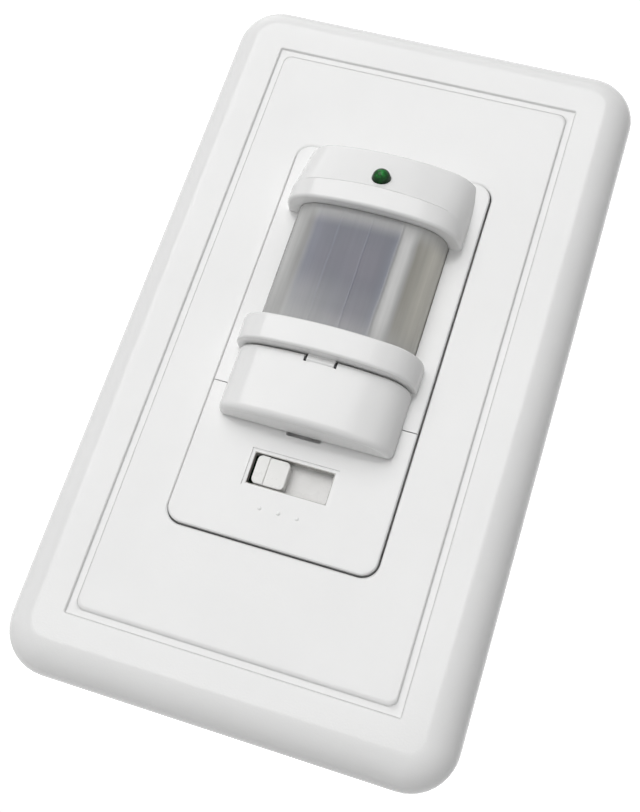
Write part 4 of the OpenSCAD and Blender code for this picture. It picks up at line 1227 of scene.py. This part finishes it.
class SWITCH_OT_slide(bpy.types.Operator):
    """Models the mode slide: a stepped knob on its cover plate"""
    bl_idname = "switch.slide"
    bl_label = "Mode slide"

    def execute(self, context):
        s, f = sizes("slide"), sizes("front")
        x, z = -s.pitch, s.middle
        left, right = x - s.knob_left, x + s.knob_right
        face = -f.face + s.knob_drop + s.step
        edge = left + s.ridge
        half = s.knob_height / 2
        knob = block("slide", (left, face, z - half), (right, -s.floor + SUNK, z + half))
        soften_edges(knob, s.knob_corner, 6, runs("Y"))
        bpy.ops.mesh.select_all(action="SELECT")
        bpy.ops.mesh.bisect(plane_co=(edge, 0, 0), plane_no=(1, 0, 0), threshold=1e-5)
        pick(knob, "FACE", lambda p: p.normal.y < -0.9 and p.calc_center_median().x < edge)
        bpy.ops.mesh.extrude_region_move(TRANSFORM_OT_translate={"value": (0, -s.step, 0)})
        soften_edges(knob, 0.3, 4, lambda e: e.is_convex and all(v.co.y < face + NEAR for v in e.verts)
                     and abs(e.verts[0].co.y - e.verts[1].co.y) < NEAR)
        tidy_normals()
        cover = block("cover", (x - s.cover_width / 2, -s.floor, z - s.cover_height / 2),
                      (x + s.cover_width / 2, -s.floor + s.cover_wall, z + s.cover_height / 2), 0.12)
        gap = s.window_height / 2 + 0.1
        cut(cover, block("gap", (left - s.cover_gap, -s.floor - OVER, z - gap),
                         (left + 0.1, -s.floor + s.cover_wall + OVER, z + gap)))
        stem = block("stem", (x - s.stem_width / 2, -s.floor + s.cover_wall - SUNK, z - s.stem_height / 2),
                     (x + s.stem_width / 2, -s.floor + s.stem_run, z + s.stem_height / 2), 0.1)
        dress(join(knob, cover, stem), "slide_knob", "slider", "white_slide")
        return {"FINISHED"}


class SWITCH_OT_adjusters(bpy.types.Operator):
    """Models the two adjuster knobs with their arrow slots, and the marked tray round them"""
    bl_idname = "switch.adjusters"
    bl_label = "Adjusters"

    def execute(self, context):
        a, f = sizes("adjusters"), sizes("front")
        tray = cad_copy("adjuster_tray", 0.12)
        x, z = -a.pitch / 2, f.split
        knob = rod("knob", a.radius, (x, -(a.front + a.rear) / 2, z), a.front - a.rear, sides=56)
        soften_edges(knob, a.soft, 4, every(lambda p: p.y < NEAR - a.front), sharp=60)
        long = a.radius + OVER
        cut(knob, block("slot", (x - a.slot / 2, -a.front - OVER, z - long),
                        (x + a.slot / 2, -a.front + a.slot_depth, z + long)))
        tip = (x, -a.front, z + a.radius - a.arrow)
        cut(knob, rod("arrow", a.arrow, tip, 1.8 * a.slot_depth, sides=3))
        middle = (x, -a.rear + (a.shaft_run - SUNK) / 2, z)
        shaft = rod("shaft", a.shaft, middle, a.shaft_run + SUNK, soft=0.1)
        time, light = copied(join(knob, shaft), (a.pitch, 0, 0))
        dress(time, "time_knob", "time_dial")
        dress(light, "light_knob", "light_dial")
        mark = rod("mark", a.mark, (x, f.face_wall - f.face, z + a.mark_ring), 0.3, soft=0.06, sides=20)
        across, down = a.mark_ring * math.sin(a.turn), a.mark_ring * (math.cos(a.turn) - 1)
        marks = join(*copied(mark, (across, 0, down), (-across, 0, down)))
        dress(join(tray, mirrored(marks, "X")), "adjuster_tray")
        return {"FINISHED"}


class SWITCH_OT_housing(bpy.types.Operator):
    """Models the dark rear housing with its screw tubes, terminal pockets and a blank field on the back"""
    bl_idname = "switch.housing"
    bl_label = "Rear housing"

    def box(self, r):
        """Models the box with its sunk field."""
        outside = (r.width, r.height, r.corner)
        inside = (r.width - 2 * r.wall, r.height - 2 * r.wall, r.corner / 2)
        field = (r.field_width, r.field_height, r.field_corner)
        field_y = r.field_depth - r.depth
        path = [
            (*inside, r.wall - r.depth, 0, 1),
            (*inside, 0, 0.15, 2),
            (*outside, 0, 0.3, 2),
            (*outside, -r.depth, r.soft, 5),
            (*inset(outside, 2 * r.soft), -r.depth, 0, 1),
            (*field, -r.depth, 0.2, 2),
            (*inset(field, 0.3), field_y, 0.2, 2),
            (*inset(field, 1), field_y, 0, 1),
        ]
        return loft("housing", rounded(path), 6, False)

    def corner_rods(self, r, radius, low, high, sides=40):
        """Models a rod at each of the four screws, between two depths."""
        middle = (r.screw_x, (low + high) / 2, r.screw_z)
        return mirrored(rod("corner_rod", radius, middle, high - low, sides=sides))

    def execute(self, context):
        r = sizes("rear")
        box = self.box(r)
        floor = r.depth - r.wall
        side, half = r.width / 2, r.pocket / 2
        seat = side - r.pocket_depth
        tubes = self.corner_rods(r, r.tube, 0.1, floor + SUNK)
        walls = three_fold(terminal_block(r, seat - r.pocket_wall, side - SUNK, half + r.pocket_wall))
        cut(box, join(tubes, walls), "UNION")
        pocket = terminal_block(r, seat, side + OVER, half)
        soften_edges(pocket, 0.6, 3, runs("X"))
        cut(box, three_fold(pocket))
        cut(box, self.corner_rods(r, r.bore, r.seat, r.depth + OVER, 48))
        cut(box, self.corner_rods(r, r.shank + ROOM, -OVER, r.seat + 0.5, 24))
        cut(box, three_fold(terminal_hole(r, seat, 5)))
        gauge = -r.field_height / 2 - r.gauge_drop
        groove = block("gauge", (-r.gauge_width / 2, r.depth - r.field_depth, gauge - r.gauge_height / 2),
                       (r.gauge_width / 2, r.depth + OVER, gauge + r.gauge_height / 2))
        soften_edges(groove, 0.4, 3, runs("Y"))
        cut(box, groove)
        edit(box)
        soften_edges(box, 0.4, 2, every(lambda p: p.y > r.depth - 0.02 and abs(math.hypot(
            abs(p.x) - r.screw_x, abs(p.z) - r.screw_z) - r.bore) < 0.03))
        reach = half + 0.02
        soften_edges(box, 0.5, 2, every(lambda p: abs(p.x) > side - NEAR and abs(p.y - r.terminal_y) < reach
                                        and abs(abs(p.z) - r.terminal_z) < reach))
        rib_x, rib_low, rib_high, rib_half = 17, 3.1, 11.1, 1.5
        rib = block("rib", (rib_x, rib_low, r.support_z - rib_half),
                    (side - r.wall + SUNK, rib_high, r.support_z + rib_half), 0.2)
        post_x, post_radius, post_run = 14, 2, 7
        middle = (post_x, floor + SUNK - post_run / 2, r.support_z)
        post = rod("post", post_radius, middle, post_run, soft=0.2, sides=24)
        dress(join(box, mirrored(rib), mirrored(post)), "rear_housing")
        return {"FINISHED"}


class SWITCH_OT_fixings(bpy.types.Operator):
    """Models the screws and clamping plates of the housing, the terminals and the ground"""
    bl_idname = "switch.fixings"
    bl_label = "Screws and clamps"

    def execute(self, context):
        r = sizes("rear")
        corner = screw("Y", r.seat, (r.screw_x, 0, r.screw_z), (r.head, r.head_high), (r.shank, r.shank_run))
        dress(mirrored(corner), "housing_screws")
        ground = screw("Y", 0, (r.ground_x, 0, r.ground_z), (r.ground_head, r.ground_high),
                       (r.ground, r.strap), sides=6)
        dress(ground, "ground_screw")
        seat = r.width / 2 - r.pocket_depth
        top = seat + r.clamp_wall
        clamp = terminal_block(r, seat, top, r.clamp / 2, 0.2)
        cut(clamp, terminal_hole(r, seat, 6))
        dress(three_fold(clamp), "terminal_clamps")
        run = r.clamp_wall + r.pocket_wall + r.terminal_end
        terminal = screw("X", top, (0, r.terminal_y, r.terminal_z), (r.terminal_head, r.terminal_high),
                         (r.terminal, run), 0.6 * r.terminal_head)
        dress(three_fold(terminal), "terminal_screws")
        return {"FINISHED"}


class SWITCH_OT_strap(bpy.types.Operator):
    """Models the steel strap with broken edges, and the sub-plate with the ribs on its back"""
    bl_idname = "switch.strap"
    bl_label = "Strap and sub-plate"

    def execute(self, context):
        r = sizes("rear")
        dress(cad_copy("mounting_strap", 0.15), "mounting_strap")
        plate = cad_copy("sub_plate", 0.15)
        half = r.rib / 2
        edge, near, corner_near, pitch = 31.3, 23.5, 18, 15
        long_half, end_half, end_z = 53, 28, 56

        def rib(left, right, low, high):
            """Models one rib on the sub-plate's back."""
            return block("rib", (left, -r.strap - 0.1, low), (right, r.rib_high - r.strap, high), 0.12)

        long = mirrored(rib(edge - half, edge + half, -long_half, long_half), "X")
        ends = mirrored(rib(-end_half, end_half, end_z - half, end_z + half), "Z")
        middle = mirrored(rib(near, edge, -half, half), "X")
        outer = mirrored(rib(corner_near, edge, 3 * pitch - half, 3 * pitch + half))
        rows = copied(rib(near, edge, pitch - half, pitch + half), (0, 0, pitch))
        dress(join(plate, long, ends, middle, outer, mirrored(join(*rows))), "sub_plate")
        return {"FINISHED"}


class SWITCH_OT_inner_pieces(bpy.types.Operator):
    """Gives every piece that keeps its CAD form its finish"""
    bl_idname = "switch.inner_pieces"
    bl_label = "Inner pieces"

    def execute(self, context):
        for node, slot in SLOT_OF.items():
            # Painted shade: the hinge pin gets a dark steel so that the slits beside the knuckle read dark
            finish = finish_of("dark_steel" if node == "door_hinge_pin" else slot)
            for holder in frame["nodes"][node].material_slots:
                holder.material = finish
        return {"FINISHED"}


class SWITCH_OT_stage(bpy.types.Operator):
    """Sets up the camera, the light, the sky and the floor"""
    bl_idname = "switch.stage"
    bl_label = "Stage"

    def execute(self, context):
        scene = context.scene
        st = scene.switch_stage
        scene.view_settings.view_transform = "Standard"
        camera = bpy.data.objects.new("camera", bpy.data.cameras.new("camera"))
        camera.data.lens = st.lens
        camera.data.sensor_width = 36
        camera.data.shift_x = st.shift_x
        camera.data.shift_y = st.shift_y
        camera.data.clip_start = 0.01
        camera.location = st.camera
        camera.rotation_euler = st.turn
        scene.collection.objects.link(camera)
        scene.camera = camera
        self.lamp("key", "DISK", (st.key_size, st.key_size), st.key_place, st.key)
        self.lamp("top", "RECTANGLE", (st.top_width, st.top_depth), st.top_place, st.top)
        self.sky(scene, st)
        self.floor(st)
        return {"FINISHED"}

    def lamp(self, name, shape, size, place, power):
        """A soft lamp that faces the switch."""
        lamp = bpy.data.lights.new(name, "AREA")
        lamp.energy = power
        lamp.shape = shape
        lamp.size, lamp.size_y = size
        holder = bpy.data.objects.new(name, lamp)
        bpy.context.scene.collection.objects.link(holder)
        holder.location = place
        way = holder.location.copy()
        way.negate()
        holder.rotation_euler = way.to_track_quat("-Z", "Y").to_euler()

    def seen(self, tree):
        """Is one for what the camera sees, straight, mirrored or through glass."""
        path = add(tree, "LightPath")
        total = path["Is Camera Ray"]
        for name in ("Is Glossy Ray", "Is Transmission Ray"):
            total = add(tree, "Math", {0: total, 1: path[name]}, operation="MAXIMUM")["Value"]
        return total

    def sky(self, scene, st):
        """A soft sky, brighter on the upper left, that the camera sees as white."""
        scene.world = bpy.data.worlds.new("sky")
        scene.world.use_nodes = True
        tree = scene.world.node_tree
        tree.nodes.clear()
        way = add(tree, "TexCoord")["Object"]
        lean = add(tree, "VectorMath", {0: way, 1: (-0.3, 0, 0.4)}, operation="DOT_PRODUCT")["Value"]
        strength = add(tree, "MapRange", {"Value": lean, "From Min": -0.5, "From Max": 0.5,
                                          "To Min": st.sky_low, "To Max": st.sky_high})["Result"]
        even = add(tree, "Background", {"Color": WHITE, "Strength": strength})["Background"]
        white = add(tree, "Background", {"Color": WHITE, "Strength": 1})["Background"]
        chosen = add(tree, "MixShader", {"Fac": self.seen(tree), 1: even, 2: white})["Shader"]
        add(tree, "OutputWorld", {"Surface": chosen})

    def floor(self, st):
        """A pale floor that turns up into a backdrop, white to the camera, and clear from below."""
        rear, level = st.floor_size / 2 - 0.1, st.floor + 0.001
        floor = open_piece("floor")
        bpy.ops.mesh.primitive_plane_add(size=st.floor_size, location=(0, 0, st.floor))
        pick(floor, "EDGE", every(lambda p: p.y > rear))
        bpy.ops.mesh.extrude_region_move(TRANSFORM_OT_translate={"value": (0, 0, st.backdrop)})
        pick(floor, "EDGE", every(lambda p: p.y > rear and p.z < level))
        bpy.ops.mesh.bevel(offset=st.bend, segments=12, affect="EDGES")
        select_only(floor)
        bpy.ops.object.shade_smooth()
        paper, tree, shader, place = start_finish("paper")
        plug(tree, shader, {
            "Base Color": ramp(tree, noise(tree, place, 6), (0.3, 0.8), (0.7, 0.84)),
            "Roughness": 0.9,
        })
        matt = shader.outputs["BSDF"]
        reach = add(tree, "VectorMath", {0: place}, operation="LENGTH")["Value"]
        strength = add(tree, "MapRange", {"Value": reach, "From Min": 0.4, "From Max": 1.4,
                                          "To Min": 0.55, "To Max": 0.9})["Result"]
        glow = add(tree, "Emission", {"Strength": strength})["Emission"]
        bright = add(tree, "AddShader", {0: matt, 1: glow})["Shader"]
        above = add(tree, "MixShader", {"Fac": self.seen(tree), 1: matt, 2: bright})["Shader"]
        below = add(tree, "NewGeometry")["Backfacing"]
        clear = add(tree, "BsdfTransparent")["BSDF"]
        both = add(tree, "MixShader", {"Fac": below, 1: above, 2: clear})["Shader"]
        plug(tree, tree.nodes["Material Output"], {"Surface": both})
        floor.data.materials.append(paper)


class SWITCH_PT_panel(bpy.types.Panel):
    """Lists the switch's pieces in the sidebar"""
    bl_idname = "SWITCH_PT_panel"
    bl_label = "Motion sensor switch"
    bl_space_type = "VIEW_3D"
    bl_region_type = "UI"
    bl_category = "Switch"

    def draw(self, context):
        for maker in MAKERS:
            self.layout.operator(maker.bl_idname)


MAKERS = (
    SWITCH_OT_stage,
    SWITCH_OT_wall_plate,
    SWITCH_OT_front_frame,
    SWITCH_OT_lower_front,
    SWITCH_OT_lens,
    SWITCH_OT_lamp,
    SWITCH_OT_door,
    SWITCH_OT_slide,
    SWITCH_OT_adjusters,
    SWITCH_OT_housing,
    SWITCH_OT_fixings,
    SWITCH_OT_strap,
    SWITCH_OT_inner_pieces,
)
GROUPS = {
    "switch_plate": PlateSizes,
    "switch_front": FrontSizes,
    "switch_lens": LensSizes,
    "switch_door": DoorSizes,
    "switch_slide": SlideSizes,
    "switch_lamp": LampSizes,
    "switch_adjusters": AdjusterSizes,
    "switch_rear": RearSizes,
    "switch_finish": SwitchFinish,
    "switch_stage": StageSizes,
}


def register():
    """Registers the sizes, the operators and the panel."""
    for name, group in GROUPS.items():
        bpy.utils.register_class(group)
        setattr(bpy.types.Scene, name, PointerProperty(type=group))
    for maker in MAKERS:
        bpy.utils.register_class(maker)
    bpy.utils.register_class(SWITCH_PT_panel)


def unregister():
    """Takes the panel, the operators and the sizes away again."""
    bpy.utils.unregister_class(SWITCH_PT_panel)
    for maker in reversed(MAKERS):
        bpy.utils.unregister_class(maker)
    for name, group in GROUPS.items():
        delattr(bpy.types.Scene, name)
        bpy.utils.unregister_class(group)


def main():
    """Models every piece in order."""
    register()
    bpy.ops.switch.stage()
    bpy.ops.switch.wall_plate()
    bpy.ops.switch.front_frame()
    bpy.ops.switch.lower_front()
    bpy.ops.switch.lens()
    bpy.ops.switch.lamp()
    bpy.ops.switch.door()
    bpy.ops.switch.slide()
    bpy.ops.switch.adjusters()
    bpy.ops.switch.housing()
    bpy.ops.switch.fixings()
    bpy.ops.switch.strap()
    bpy.ops.switch.inner_pieces()


if __name__ == "__main__":
    main()
